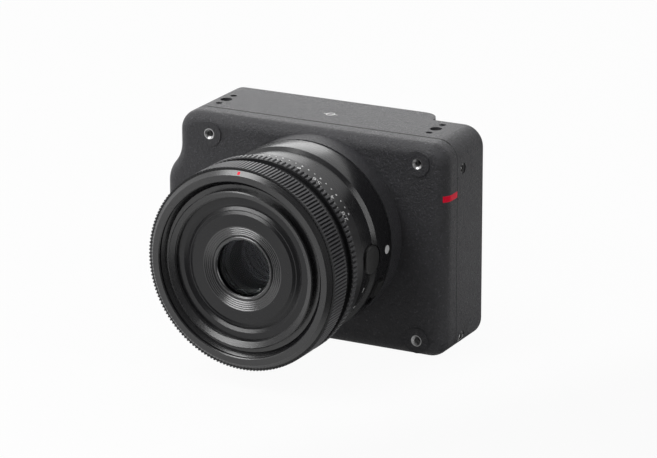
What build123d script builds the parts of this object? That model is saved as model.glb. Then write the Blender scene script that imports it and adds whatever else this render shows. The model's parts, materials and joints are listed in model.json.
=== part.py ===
from build123d import *
import os
from math import cos, radians, sin

# Compact industrial camera with an interchangeable lens, in millimetres.
# Origin: mouth of the tripod thread, in the middle of the lens axis on the bottom face.
# +Z is up and the lens looks along -Y, so +X is on the right of someone who faces the lens.

# Body
BODY_HEIGHT = 74.0
BODY_RIGHT = 48.1           # lens axis to the right wall
BODY_LEFT = 53.1            # lens axis to the left wall
AXIS_RISE = 3.3             # lens axis above the middle of the body
AXIS_HEIGHT = BODY_HEIGHT / 2 + AXIS_RISE
TRIPOD_SETBACK = 19.0       # front face to the tripod thread
COVER_DEPTH = 8.7           # front face to the seam of the front cover
STRIP_DEPTH = 28.9          # front face to the back of the connector strip
BLOCK_DEPTH = 35.5          # front face to the back of the thicker block
BLOCK_RIGHT = 29.4          # lens axis to the right side of that block
BLOCK_CORNER = 6.4
CORNER_RADIUS = 7.0
FRONT_ROUNDING = 4.5
REAR_ROUNDING = 0.8
BULGE_OUT = 5.1             # swelling of the left wall round the release button
BULGE_FLAT = 15.4
BULGE_LENGTH = 43.4
SHELL_WALL = 2.0
COVER_WALL = 2.5
REAR_WALL = 3.5
STRIP_WALL = 2.5

# Collar and bayonet
FLANGE_HEIGHT = 7.5         # front face to the flange face of the bayonet
COLLAR_RADIUS = 32.0
COLLAR_BACKSET = 0.2        # collar's front face behind the flange face
COLLAR_BORE = 26.0
RING_RADIUS = 30.5
RING_THICKNESS = 2.0
THROAT_RADIUS = 23.05
LUG_GATE_RADIUS = 24.9
LUG_COUNT = 3
LUG_GATE_ANGLE = 64.0
LUG_ANGLE = 50.0
LUG_THICKNESS = 1.5
SEAT_GAP = 0.1
RUNNING_GAP = 0.05

# Fixing points
PATTERN_X = 78.2
PATTERN_MARGIN = 6.3         # rows of pads from the edge less half the pattern's drop
PATTERN_Z = BODY_HEIGHT - 2 * PATTERN_MARGIN
PATTERN_CENTRE_X = -1.4
PATTERN_DROP = 0.5           # pattern's centre below the middle of the body
PATTERN_CENTRE_Z = BODY_HEIGHT / 2 - PATTERN_DROP
PAD_RADIUS = 4.35
PAD_HEIGHT = 0.3
INSERT_RADIUS = 1.9
INSERT_LENGTH = 6.0
M3_BORE = 1.25
INSERT_CHAMFER = 0.45
SIDE_INSERT_DEPTH = 13.1
SIDE_INSERT_BOTTOM = 5.0
SIDE_INSERT_TOP = 10.4       # upper side insert below the top
SIDE_INSERT_SINK = 0.5
TOP_INSERT_XS = (-44.5, 35.1)
TOP_MOUTH_RADIUS = 2.05
TOP_INSERT_RADIUS = 3.0
TOP_INSERT_LENGTH = 5.0
TOP_INSERT_SINK = 1.2
M4_BORE = 1.65
DOWEL_SPACING = 10.2
DOWEL_RADIUS = 1.15
DOWEL_DEPTH = 1.5
TRIPOD_BORE = 2.55
TRIPOD_THREAD = 5.5
TRIPOD_RADIUS = 5.0
TRIPOD_HEIGHT = 7.0
BOSS_WALL = 1.6

# Accent stripe at the seam
STRIPE_DROP = 18.15          # middle of the stripe below the top
STRIPE_WIDTH = 2.1
STRIPE_SINK = 0.5
STRIPE_REACH = 1.6          # how far it runs in from the right wall

# Release button and lock pin
RELEASE_X = -48.6
RELEASE_RADIUS = 4.4
RELEASE_PROUD = 1.6
RELEASE_LIP = 0.9
RELEASE_GAP = 0.2
PIN_CIRCLE = 27.7
PIN_RADIUS = 1.3
PIN_ENGAGE = 1.2
LEVER_THICKNESS = 1.2
LEVER_WIDTH = 5.0
LEVER_DEPTH = 4.0           # front face to the lever, inside the cover

# Sensor stack, measured back from the front face
FLANGE_TO_SENSOR = 18.0
SENSOR_WIDTH = 36.0
SENSOR_HEIGHT = 24.0
PACKAGE_RIM = 3.0
PACKAGE_LIP = 0.8
PACKAGE_BASE = 2.0
PACKAGE_CORNER = 1.0
GLASS_THICKNESS = 1.0
SENSOR_BOARD_X = 52.0
SENSOR_BOARD_Z = 42.0
SENSOR_BOARD = 1.2
BRACKET_THICKNESS = 2.0
BRACKET_X = 64.0
BRACKET_MARGIN = 7.0         # bracket's edge inside the body's height, above and below
BRACKET_Z = BODY_HEIGHT - 2 * BRACKET_MARGIN
POST_X = 28.0
POST_EDGE = 4.0              # posts inside the bracket's edge
POST_Z = BRACKET_Z / 2 - POST_EDGE
POST_RADIUS = 2.5
POST_SCREW_RADIUS = 0.8
SPREADER_X = 44.0
SPREADER_Z = 34.0
SPREADER_THICKNESS = 2.4
FIN_COUNT = 8
FIN_SLOT = 2.2               # gap between two fins
FIN_DEPTH = 1.2
STANDOFF_LENGTH = 4.4
STANDOFF_RADIUS = 2.2
BOARD_THICKNESS = 1.6
BOARD_RIGHT = 44.5
BOARD_BOTTOM = 9.0
BOARD_TOP_MARGIN = 6.5
BOARD_TOP = BODY_HEIGHT - BOARD_TOP_MARGIN

# Card slot and its door
CARD_X = -44.2
CARD_Z = 24.0
CARD_WIDTH = 24.4
CARD_THICKNESS = 2.5
CAGE_WALL = 0.6
CAGE_LENGTH = 26.5
CAGE_SETBACK = 0.4          # mouth of the cage behind the rear cover
DOOR_WIDTH = 7.6
DOOR_HEIGHT = 29.0
DOOR_GAP = 0.3
DOOR_PIN_RADIUS = 0.45
DOOR_PIN_ENDS = 1.0
NAIL_NOTCH = 4.0
NAIL_NOTCH_DEPTH = 0.6

# Connectors on the recessed strip: width and height of each shell, and its height above the bottom
CONNECTOR_X = 38.6
SOCKET_WALL = 0.5
SOCKET_CLEARANCE = 0.1
SOCKET_CORNER = 1.1
TONGUE_THICKNESS = 0.8
TONGUE_MARGIN = 1.5          # tongue's end inside the shell's end
USB_SIZE = (9.0, 3.3)
HDMI_SIZE = (6.8, 3.3)
IO_SIZE = (12.6, 3.8)
POWER_SIZE = (8.2, 3.9)
USB_HEIGHT = 46.0
HDMI_HEIGHT = 35.0
IO_DROP = 16.0               # round the top socket: its middle below the top
IO_HEIGHT = BODY_HEIGHT - IO_DROP
POWER_HEIGHT = 22.0

# Rear cover and its buttons
REAR_COVER_THICKNESS = 1.8
REAR_MARGIN = 3.2
REAR_LEDGE = 1.5
REAR_COVER_CORNER = 4.0
REAR_COVER_RIGHT = 20.5
BUTTON_GAP = 0.2
BUTTON_PROUD = 0.9
BUTTON_FLANGE = 0.7
BUTTON_FLANGE_LIP = 0.7
PAD_X = 4.0
PAD_Z = 45.0
PAD_OUTER = 8.5
PAD_TILT_ROOM = 0.5
ENTER_RADIUS = 2.8
MENU_X = -14.0
MENU_Z = 45.0
POWER_BUTTON_X = -14.0
UPPER_ROW_DROP = 12.0        # power button and light below the top
POWER_BUTTON_Z = BODY_HEIGHT - UPPER_ROW_DROP
ROUND_BUTTON_RADIUS = 3.0
LIGHT_X = -3.0
LIGHT_Z = BODY_HEIGHT - UPPER_ROW_DROP
LIGHT_RADIUS = 1.0
COVER_SCREW_RADIUS = 1.0
COVER_SCREW_HEAD = 1.9
COVER_SCREW_LENGTH = 3.2
COVER_SCREW_INSET = 2.8

# Lens, measured ahead of the flange face
LENS_LENGTH = 46.0
GRIP_RADIUS = 34.3
RIB_HEIGHT = 0.55
RIB_FLANK = 0.28             # share of the pitch that each flank takes
RIB_CHAMFER = 0.35           # bevel at the ends of the ribs
RING_BORE = 31.0
BARREL_RADIUS = 32.4
BARREL_TAIL_RADIUS = 31.8
BARREL_START = 0.3
BARREL_STEP = 10.9
BARREL_STEP_LENGTH = 1.5
BARREL_FRONT_RADIUS = 31.4
BARREL_BORE = 29.2
BARREL_BACK_WALL = 1.8
MOUNT_FLANGE = 1.8
MOUNT_TUBE_RADIUS = 22.9
MOUNT_TUBE_BORE = 20.6
MOUNT_TUBE_LENGTH = 5.5
LUG_RADIUS = 24.6
APERTURE_LAND_RADIUS = 32.6
APERTURE_RING_WIDTH = 10.5
APERTURE_RIBS_WIDTH = 3.4
APERTURE_RIBS = 124
AXIAL_GAP = 0.3
SPACER_RADIUS = 33.0
SPACER_WIDTH = 3.4
FOCUS_RING_WIDTH = 7.7
FOCUS_RIBS = 172
RIM_LENGTH = 2.0
RIM_RADIUS = 33.4
RIM_FLAT_RADIUS = 32.0
GROOVE_OUTER = 29.65
GROOVE_INNER = 26.5
GROOVE_DEPTH = 4.0
GROOVE_FLOOR_OUTER = 28.1
FILTER_BORE = 24.5
FILTER_LIP_BACKSET = 0.4
FILTER_THREAD = 1.3
LIP_BEVEL = 1.1              # dished edge inside the lip: its width and depth
LIP_BEVEL_DEPTH = 0.5
FRONT_SLEEVE_RADIUS = 29.0
FRONT_SLEEVE_LENGTH = 4.8    # sleeve of the front ring behind its rim
NAME_RADIUS = 24.1
NAME_SEAT_BORE = 22.5
NAME_PLATE = 1.0
NAME_RIDGE_FOOT = 20.9
NAME_RIDGE_SHOULDER = 20.1
NAME_RIDGE_OUTER = 19.1
NAME_RIDGE_INNER = 14.3
NAME_RIDGE_HEIGHT = 1.1
NAME_SHOULDER_DROP = 0.5
NAME_HOLE = 9.6
NAME_LIP = 0.7
NAME_STEPS = 8
NAME_DISH = 0.6              # edge at the glass behind the ridge
INNER_WALL = 3.5
BULKHEAD_SETBACK = 18.0      # front of the lens to the front of the bulkhead
BULKHEAD = 2.0
BULKHEAD_BORE = 12.5

# Optical groups
FRONT_ELEMENT_RADIUS = 11.0
FRONT_ELEMENT_EDGE = 2.8
FRONT_ELEMENT_CROWN = 40.0
FRONT_ELEMENT_SINK = 0.5     # rim of the front glass behind the name ring's recess
CELL_WALL = 2.8
CELL_FLANGE = 20.0
CELL_FLANGE_THICKNESS = 1.6
CELL_SEAT = 1.3
SECOND_ELEMENT_RADIUS = 9.4
SECOND_ELEMENT_THICKNESS = 3.6
FOCUS_ELEMENT_RADIUS = 13.0
FOCUS_ELEMENT_THICKNESS = 4.0
FOCUS_CELL_RADIUS = 16.0
FOCUS_CELL_LENGTH = 6.0
FOCUS_SEAT = 1.0
ROD_CIRCLE = 20.5
ROD_RADIUS = 1.0
ROD_ANGLES = (60.0, 240.0)
ROD_EAR_RADIUS = 2.6
REAR_CELL_PLATE = 2.0
REAR_CELL_RADIUS = 19.8
REAR_CELL_TAIL = 2.0
REAR_ELEMENT_RADIUS = 16.6
REAR_ELEMENT_THICKNESS = 3.6
CONTACT_COUNT = 10
CONTACT_ARC = 84.0
CONTACT_SPREAD = 0.8         # share of the arc that the contacts fill
CONTACT_DEPTH = 3.2
CONTACT_INNER = 16.8
CONTACT_PIN_RADIUS = 0.5
CONTACT_PIN_HEIGHT = 0.4

# Iris
BLADE_COUNT = 7
BLADE_THICKNESS = 0.15
BLADE_PITCH = 0.3
BLADE_INNER_RADIUS = 9.2
BLADE_OUTER_RADIUS = 13.0
BLADE_SPAN = 98.0
BLADE_PIVOT_CIRCLE = 15.0
BLADE_ARM = 2.8
BLADE_PIN_RADIUS = 0.45
BLADE_HEAD_RADIUS = 1.0
IRIS_PLATE = 1.0
IRIS_HOLE = 8.6
IRIS_RIM = 1.3
IRIS_RING_GAP = 0.3
IRIS_SLOT_MARGIN = 0.35
IRIS_CLEARANCE = 0.08
IRIS_COVER_RADIUS = 23.0

# Lens buttons and switches
HOLD_SETBACK = 7.3           # button's middle behind the barrel's front end
HOLD_DROP = 0.8              # button's middle below the lens axis
HOLD_RADIUS = 4.8
HOLD_FACE = 32.25
HOLD_GAP = 0.2
HOLD_FLANGE_LIP = 0.8
HOLD_FLANGE = 0.8
HOLD_FLANGE_FACE = 28.3
HOLD_TRAVEL = 0.6
SWITCH_BACK = 3.8
SWITCH_WIDTH = 5.0
SWITCH_SINK = 0.9
SWITCH_WINDOW_ANGLE = 19.0
SWITCH_KNOB_ANGLE = 10.5
SWITCH_KNOB_TOP = 33.1
SWITCH_TRAVEL = 7.0
SWITCH_GAP = 0.3
SWITCH_STEM = 1.6
SWITCH_STEM_ANGLE = 5.0
FOCUS_SWITCH_ANGLE = -27.5
CLICK_SWITCH_ANGLE = 207.0

# Places that follow from the sizes above
FRONT_Y = -TRIPOD_SETBACK
FLANGE_Y = FRONT_Y - FLANGE_HEIGHT
BLOCK_Y = FRONT_Y + BLOCK_DEPTH
LENS_AXIS = Axis((0, FLANGE_Y, AXIS_HEIGHT), (0, -1, 0))

# Places along the lens, worked back from its front, ahead of the flange face
rim_back = LENS_LENGTH - RIM_LENGTH
focus_ring_end = rim_back - AXIAL_GAP
spacer_front = focus_ring_end - FOCUS_RING_WIDTH - AXIAL_GAP
spacer_back = spacer_front - SPACER_WIDTH
aperture_ring_end = spacer_back - AXIAL_GAP
aperture_ribs_start = aperture_ring_end - APERTURE_RIBS_WIDTH
barrel_front = aperture_ring_end - APERTURE_RING_WIDTH - AXIAL_GAP
bulkhead_front = LENS_LENGTH - BULKHEAD_SETBACK
front_sleeve_back = rim_back - FRONT_SLEEVE_LENGTH
inner_start = MOUNT_FLANGE + BARREL_BACK_WALL + SEAT_GAP
rear_plate_front = inner_start + REAR_CELL_PLATE
iris_front = bulkhead_front - BULKHEAD
first_blade = iris_front - IRIS_PLATE - BLADE_THICKNESS / 2
ring_front = first_blade - BLADE_COUNT * BLADE_PITCH
ring_back = ring_front - IRIS_PLATE
cover_back = ring_back - IRIS_RING_GAP - IRIS_PLATE
focus_cell_back = (rear_plate_front + cover_back - FOCUS_CELL_LENGTH) / 2
hold_ahead = barrel_front - HOLD_SETBACK
hold_height = AXIS_HEIGHT - HOLD_DROP

os.makedirs("parts", exist_ok=True)


def across(depth):
    """Plane across the lens axis, this far behind the front face; its z looks to the front."""
    return Plane(origin=(0, FRONT_Y + depth, 0), x_dir=(1, 0, 0), z_dir=(0, -1, 0))


def lens_plane(ahead):
    """Plane across the lens axis with its origin on it, this far ahead of the flange face."""
    return Plane(origin=(0, FLANGE_Y - ahead, AXIS_HEIGHT), x_dir=(1, 0, 0), z_dir=(0, -1, 0))


def lens_section(angle=0.0):
    """Half section of the lens at this angle: x is the radius, y the distance ahead of the flange."""
    turn = radians(angle)
    return Plane(origin=(0, FLANGE_Y, AXIS_HEIGHT), x_dir=(cos(turn), 0, sin(turn)),
                 z_dir=(sin(turn), 0, -cos(turn)))


def band(inner, outer, back, front):
    """Rectangle of a lens section, between two radii and two distances ahead of the flange."""
    return Polygon((inner, back), (outer, back), (outer, front), (inner, front), align=None)


def finish(name, piece):
    """Labels a finished piece and writes it."""
    piece.part.label = name
    export_step(piece.part, f"parts/{name}.step")


# Body outline, seen from the front
def body_outline(inset=0.0):
    """Rounded rectangle whose left wall swells out round the release button."""
    left, right, top = -BODY_LEFT, BODY_RIGHT, BODY_HEIGHT
    bulge = left - BULGE_OUT
    flat_top = AXIS_HEIGHT + BULGE_FLAT / 2
    flat_bottom = AXIS_HEIGHT - BULGE_FLAT / 2
    s_top = AXIS_HEIGHT + BULGE_LENGTH / 2
    s_bottom = AXIS_HEIGHT - BULGE_LENGTH / 2
    r = CORNER_RADIUS
    down = (0, -1)
    with BuildSketch() as outline:
        with BuildLine():
            Line((left + r, 0), (right - r, 0))
            TangentArc((right - r, 0), (right, r), tangent=(1, 0))
            Line((right, r), (right, top - r))
            TangentArc((right, top - r), (right - r, top), tangent=(0, 1))
            Line((right - r, top), (left + r, top))
            TangentArc((left + r, top), (left, top - r), tangent=(-1, 0))
            Line((left, top - r), (left, s_top))
            upper = TangentArc((left, s_top), ((left + bulge) / 2, (s_top + flat_top) / 2), tangent=down)
            TangentArc(upper @ 1, (bulge, flat_top), tangent=upper % 1)
            Line((bulge, flat_top), (bulge, flat_bottom))
            lower = TangentArc((bulge, flat_bottom), ((left + bulge) / 2, (s_bottom + flat_bottom) / 2),
                               tangent=down)
            TangentArc(lower @ 1, (left, s_bottom), tangent=lower % 1)
            Line((left, s_bottom), (left, r))
            TangentArc((left, r), (left + r, 0), tangent=down)
        make_face()
        if inset:
            offset(amount=-inset, kind=Kind.INTERSECTION)
    return outline.sketch


def cover_blank(inset=0.0):
    """Outer form of the front cover with its rounded front edge, or that form made smaller all round."""
    with BuildPart() as blank:
        with BuildSketch(across(COVER_DEPTH)):
            add(body_outline(inset))
        extrude(amount=COVER_DEPTH - inset)
        front_edges = blank.faces().sort_by(Axis.Y)[0].edges()
        fillet(front_edges, radius=FRONT_ROUNDING - inset)
    return blank.part


pattern_places = [
    (PATTERN_CENTRE_X + side * PATTERN_X / 2, PATTERN_CENTRE_Z + level * PATTERN_Z / 2)
    for side in (-1, 1) for level in (-1, 1)
]
post_places = [(side * POST_X, AXIS_HEIGHT + level * POST_Z) for side in (-1, 1) for level in (-1, 1)]
sensor_face = FLANGE_TO_SENSOR - FLANGE_HEIGHT
board_back = sensor_face + PACKAGE_BASE + SENSOR_BOARD
lens_axis_place = (0, AXIS_HEIGHT)
side_places = [(FRONT_Y + SIDE_INSERT_DEPTH, height)
               for height in (BODY_HEIGHT - SIDE_INSERT_TOP, SIDE_INSERT_BOTTOM)]
top_places = [(x, 0) for x in TOP_INSERT_XS]

# Accent stripe: a thin inlay that wraps the right front edge and ends at the seam
stripe_inner = cover_blank(STRIPE_SINK)
with BuildPart() as accent_stripe:
    add(cover_blank())
    add(stripe_inner, mode=Mode.SUBTRACT)
    with BuildSketch(Plane.XY.offset(BODY_HEIGHT - STRIPE_DROP - STRIPE_WIDTH / 2)):
        with Locations((BODY_RIGHT - STRIPE_REACH / 2, FRONT_Y + COVER_DEPTH / 2)):
            Rectangle(STRIPE_REACH, COVER_DEPTH)
    extrude(amount=STRIPE_WIDTH, mode=Mode.INTERSECT)
finish("accent_stripe", accent_stripe)

# Front cover: moulded shell with the bayonet collar, four screw pads and the release button's hole
front_recess = FLANGE_HEIGHT - RING_THICKNESS
with BuildPart() as front_cover:
    add(cover_blank())
    with BuildSketch(across(COVER_DEPTH)):
        add(body_outline(COVER_WALL))
    extrude(amount=COVER_DEPTH - COVER_WALL, mode=Mode.SUBTRACT)
    with BuildSketch(across(0)):
        with Locations(*pattern_places):
            Circle(PAD_RADIUS)
    extrude(amount=PAD_HEIGHT)
    with BuildSketch(across(0)):
        with Locations(*pattern_places):
            Circle(INSERT_RADIUS + BOSS_WALL)
    extrude(amount=-COVER_DEPTH + SEAT_GAP)
    with BuildSketch(across(COVER_WALL)):
        with Locations(*post_places):
            Circle(POST_RADIUS)
    extrude(amount=-(board_back - COVER_WALL))
    with BuildSketch(across(COVER_WALL)):
        with Locations(lens_axis_place):
            Circle(COLLAR_RADIUS)
    extrude(amount=COVER_WALL + FLANGE_HEIGHT - COLLAR_BACKSET)
    with BuildSketch(across(-FLANGE_HEIGHT)):
        with Locations(lens_axis_place):
            Circle(RING_RADIUS + SEAT_GAP)
    extrude(amount=-RING_THICKNESS, mode=Mode.SUBTRACT)
    with BuildSketch(across(-FLANGE_HEIGHT)):
        with Locations(lens_axis_place):
            Circle(COLLAR_BORE)
    extrude(amount=-(FLANGE_HEIGHT + COVER_WALL), mode=Mode.SUBTRACT)
    with BuildSketch(across(-PAD_HEIGHT)):
        with Locations(*pattern_places):
            Circle(INSERT_RADIUS)
    extrude(amount=-INSERT_LENGTH, mode=Mode.SUBTRACT)
    with BuildSketch(across(0)):
        with Locations((RELEASE_X, AXIS_HEIGHT)):
            Circle(RELEASE_RADIUS + RELEASE_GAP)
    extrude(amount=-COVER_WALL, mode=Mode.SUBTRACT)
    with BuildSketch(across(-front_recess)):
        with Locations((-PIN_CIRCLE, AXIS_HEIGHT)):
            Circle(PIN_RADIUS + RELEASE_GAP)
    extrude(amount=-(front_recess + COVER_WALL), mode=Mode.SUBTRACT)
    add(accent_stripe.part, mode=Mode.SUBTRACT)
finish("front_cover", front_cover)

# M3 inserts: six steel bushes, pressed into the front pads and into the right wall
with BuildPart() as m3_inserts:
    with BuildSketch(across(-PAD_HEIGHT)):
        with Locations(*pattern_places):
            Circle(INSERT_RADIUS)
            Circle(M3_BORE, mode=Mode.SUBTRACT)
    extrude(amount=-INSERT_LENGTH)
    mouths = m3_inserts.edges().filter_by(GeomType.CIRCLE).group_by(Axis.Y)[0]
    chamfer(mouths.group_by(SortBy.RADIUS)[0], length=INSERT_CHAMFER)
    with BuildSketch(Plane.YZ.offset(BODY_RIGHT - SIDE_INSERT_SINK)):
        with Locations(*side_places):
            Circle(INSERT_RADIUS)
            Circle(M3_BORE, mode=Mode.SUBTRACT)
    extrude(amount=-INSERT_LENGTH)
    with BuildSketch(across(-PAD_HEIGHT)):
        add(body_outline())
    extrude(amount=-(PAD_HEIGHT + STRIP_DEPTH), mode=Mode.INTERSECT)
finish("m3_inserts", m3_inserts)

# Main housing: cast shell from the seam back, deeper behind the lens than at the connector strip
cavity_back = BLOCK_DEPTH - REAR_WALL
cover_left = -BODY_LEFT + REAR_MARGIN
cover_width = REAR_COVER_RIGHT - cover_left
cover_height = BODY_HEIGHT - 2 * REAR_MARGIN
cover_centre = ((REAR_COVER_RIGHT + cover_left) / 2, BODY_HEIGHT / 2)
screw_places = [
    (cover_centre[0] + side * (cover_width / 2 - COVER_SCREW_INSET),
     cover_centre[1] + level * (cover_height / 2 - COVER_SCREW_INSET))
    for side in (-1, 1) for level in (-1, 1)
]
sockets = {"usb_connector": (USB_SIZE, USB_HEIGHT), "hdmi_connector": (HDMI_SIZE, HDMI_HEIGHT),
           "io_connector": (IO_SIZE, IO_HEIGHT), "power_connector": (POWER_SIZE, POWER_HEIGHT)}
with BuildPart() as main_housing:
    with BuildSketch(across(COVER_DEPTH)):
        add(body_outline())
    extrude(amount=-(STRIP_DEPTH - COVER_DEPTH))
    fillet(main_housing.faces().sort_by(Axis.Y)[-1].edges(), radius=REAR_ROUNDING)
    with BuildSketch(across(STRIP_DEPTH - REAR_ROUNDING)):
        add(body_outline())
        with Locations((BLOCK_RIGHT + BODY_RIGHT, BODY_HEIGHT / 2)):
            Rectangle(2 * BODY_RIGHT, 2 * BODY_HEIGHT, mode=Mode.SUBTRACT)
    extrude(amount=-(BLOCK_DEPTH - STRIP_DEPTH + REAR_ROUNDING))
    back_face = main_housing.faces().sort_by(Axis.Y)[-1]
    block_edge = back_face.edges().filter_by(Axis.Z).sort_by(Axis.X)[-1]
    fillet(block_edge, radius=BLOCK_CORNER)
    with BuildSketch(across(COVER_DEPTH)):
        add(body_outline(SHELL_WALL))
    extrude(amount=-(STRIP_DEPTH - STRIP_WALL - COVER_DEPTH), mode=Mode.SUBTRACT)
    with BuildSketch(across(COVER_DEPTH)):
        add(body_outline(SHELL_WALL))
        with Locations((BLOCK_RIGHT - SHELL_WALL + BODY_RIGHT, BODY_HEIGHT / 2)):
            Rectangle(2 * BODY_RIGHT, 2 * BODY_HEIGHT, mode=Mode.SUBTRACT)
    extrude(amount=-(cavity_back - COVER_DEPTH), mode=Mode.SUBTRACT)
    with BuildSketch(across(BLOCK_DEPTH)):
        with Locations(cover_centre):
            RectangleRounded(cover_width, cover_height, REAR_COVER_CORNER)
    extrude(amount=REAR_COVER_THICKNESS, mode=Mode.SUBTRACT)
    with BuildSketch(across(BLOCK_DEPTH)):
        with Locations(cover_centre):
            RectangleRounded(cover_width - 2 * REAR_LEDGE, cover_height - 2 * REAR_LEDGE,
                             REAR_COVER_CORNER - REAR_LEDGE)
    extrude(amount=REAR_WALL, mode=Mode.SUBTRACT)
    with BuildSketch(across(BLOCK_DEPTH - REAR_COVER_THICKNESS)):
        with Locations(*screw_places):
            Circle(COVER_SCREW_HEAD + BOSS_WALL / 2)
            Circle(COVER_SCREW_RADIUS, mode=Mode.SUBTRACT)
    extrude(amount=REAR_WALL - REAR_COVER_THICKNESS)
    with BuildSketch(across(BLOCK_DEPTH - REAR_COVER_THICKNESS)):
        with Locations(*screw_places):
            Circle(COVER_SCREW_RADIUS)
    extrude(amount=REAR_WALL - REAR_COVER_THICKNESS, mode=Mode.SUBTRACT)
    for size, height in sockets.values():
        with BuildSketch(across(STRIP_DEPTH)):
            with Locations((CONNECTOR_X, height)):
                RectangleRounded(size[0] + 2 * SOCKET_CLEARANCE, size[1] + 2 * SOCKET_CLEARANCE,
                                 SOCKET_CORNER + SOCKET_CLEARANCE)
        extrude(amount=STRIP_WALL, mode=Mode.SUBTRACT)
    with BuildSketch(Plane.XY):
        Circle(TRIPOD_RADIUS + BOSS_WALL)
    extrude(amount=TRIPOD_HEIGHT)
    with BuildSketch(Plane.XY):
        Circle(TRIPOD_RADIUS)
    extrude(amount=TRIPOD_HEIGHT, mode=Mode.SUBTRACT)
    top_boss = TOP_INSERT_SINK + TOP_INSERT_LENGTH
    with BuildSketch(Plane.XY.offset(BODY_HEIGHT - SHELL_WALL)):
        with Locations(*top_places):
            Circle(TOP_INSERT_RADIUS + BOSS_WALL)
    extrude(amount=SHELL_WALL - top_boss)
    with BuildSketch(Plane.XY.offset(BODY_HEIGHT)):
        with Locations(*top_places):
            Circle(TOP_MOUTH_RADIUS)
    extrude(amount=-TOP_INSERT_SINK, mode=Mode.SUBTRACT)
    with BuildSketch(Plane.XY.offset(BODY_HEIGHT - TOP_INSERT_SINK)):
        with Locations(*top_places):
            Circle(TOP_INSERT_RADIUS)
    extrude(amount=-TOP_INSERT_LENGTH, mode=Mode.SUBTRACT)
    with BuildSketch(Plane.XY.offset(BODY_HEIGHT)):
        with Locations(*[(x, side * DOWEL_SPACING / 2) for x in TOP_INSERT_XS for side in (-1, 1)]):
            Circle(DOWEL_RADIUS)
    extrude(amount=-DOWEL_DEPTH, mode=Mode.SUBTRACT)
    with BuildSketch(Plane.YZ.offset(BODY_RIGHT - SHELL_WALL)):
        with Locations(*side_places):
            Circle(INSERT_RADIUS + BOSS_WALL)
    extrude(amount=SHELL_WALL - SIDE_INSERT_SINK - INSERT_LENGTH)
    with BuildSketch(Plane.YZ.offset(BODY_RIGHT)):
        with Locations(*side_places):
            Circle(INSERT_RADIUS)
    extrude(amount=-(SIDE_INSERT_SINK + INSERT_LENGTH), mode=Mode.SUBTRACT)
    with BuildSketch(across(COVER_DEPTH)):
        add(body_outline())
    extrude(amount=-(BLOCK_DEPTH - COVER_DEPTH), mode=Mode.INTERSECT)
finish("main_housing", main_housing)

# Top and bottom threads: metal bushes set in the housing's bosses
with BuildPart() as top_inserts:
    with BuildSketch(Plane.XY.offset(BODY_HEIGHT - TOP_INSERT_SINK)):
        with Locations(*top_places):
            Circle(TOP_INSERT_RADIUS)
            Circle(M4_BORE, mode=Mode.SUBTRACT)
    extrude(amount=-TOP_INSERT_LENGTH)
finish("top_inserts", top_inserts)

with BuildPart() as tripod_socket:
    with BuildSketch(Plane.XY):
        Circle(TRIPOD_RADIUS)
    extrude(amount=TRIPOD_HEIGHT)
    with BuildSketch(Plane.XY):
        Circle(TRIPOD_BORE)
    extrude(amount=TRIPOD_THREAD, mode=Mode.SUBTRACT)
finish("tripod_socket", tripod_socket)

# Bayonet ring of the body: steel ring whose three gates let the lens lugs in
with BuildPart() as body_mount_ring:
    with BuildSketch(lens_plane(-RING_THICKNESS)):
        Circle(RING_RADIUS)
        Circle(THROAT_RADIUS, mode=Mode.SUBTRACT)
    extrude(amount=RING_THICKNESS)
    for gate in range(LUG_COUNT):
        start = gate * 360 / LUG_COUNT + 90 - LUG_GATE_ANGLE / 2 + 180 / LUG_COUNT
        with BuildSketch(lens_section(start)):
            band(THROAT_RADIUS - RING_THICKNESS, LUG_GATE_RADIUS, -RING_THICKNESS, 0)
        revolve(axis=LENS_AXIS, revolution_arc=LUG_GATE_ANGLE, mode=Mode.SUBTRACT)
    with BuildSketch(lens_plane(0)):
        with Locations((-PIN_CIRCLE, 0)):
            Circle(PIN_RADIUS + RUNNING_GAP)
    extrude(amount=-RING_THICKNESS, mode=Mode.SUBTRACT)
finish("body_mount_ring", body_mount_ring)

# Body contacts: arc-shaped block at the bottom of the throat with its row of domed pins
contact_pitch = CONTACT_ARC * CONTACT_SPREAD / (CONTACT_COUNT - 1)
contact_angles = [270 + contact_pitch * (i - (CONTACT_COUNT - 1) / 2) for i in range(CONTACT_COUNT)]
contact_circle = (CONTACT_INNER + MOUNT_TUBE_BORE) / 2
contact_meet = -MOUNT_TUBE_LENGTH - CONTACT_PIN_HEIGHT
with BuildPart() as contact_block:
    with BuildSketch(lens_section(270 - CONTACT_ARC / 2)):
        band(CONTACT_INNER, COLLAR_BORE, contact_meet - CONTACT_DEPTH, contact_meet)
    revolve(axis=LENS_AXIS, revolution_arc=CONTACT_ARC)
    for angle in contact_angles:
        with BuildSketch(lens_plane(contact_meet)):
            with PolarLocations(contact_circle, 1, start_angle=angle):
                Circle(CONTACT_PIN_RADIUS)
        extrude(amount=CONTACT_PIN_HEIGHT)
finish("contact_block", contact_block)

# Lens release: a sprung button in the bulge and the lock pin that its lever carries
with BuildPart() as release_button:
    with BuildSketch(across(COVER_WALL + SEAT_GAP)):
        with Locations((RELEASE_X, AXIS_HEIGHT)):
            Circle(RELEASE_RADIUS)
    extrude(amount=COVER_WALL + SEAT_GAP + RELEASE_PROUD)
    rim = release_button.faces().sort_by(Axis.Y)[0].edges()
    fillet(rim, radius=RELEASE_PROUD / 2)
    with BuildSketch(across(COVER_WALL + SEAT_GAP)):
        with Locations((RELEASE_X, AXIS_HEIGHT)):
            Circle(RELEASE_RADIUS + RELEASE_LIP)
    extrude(amount=-(LEVER_DEPTH - COVER_WALL - SEAT_GAP))
finish("release_button", release_button)

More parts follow.
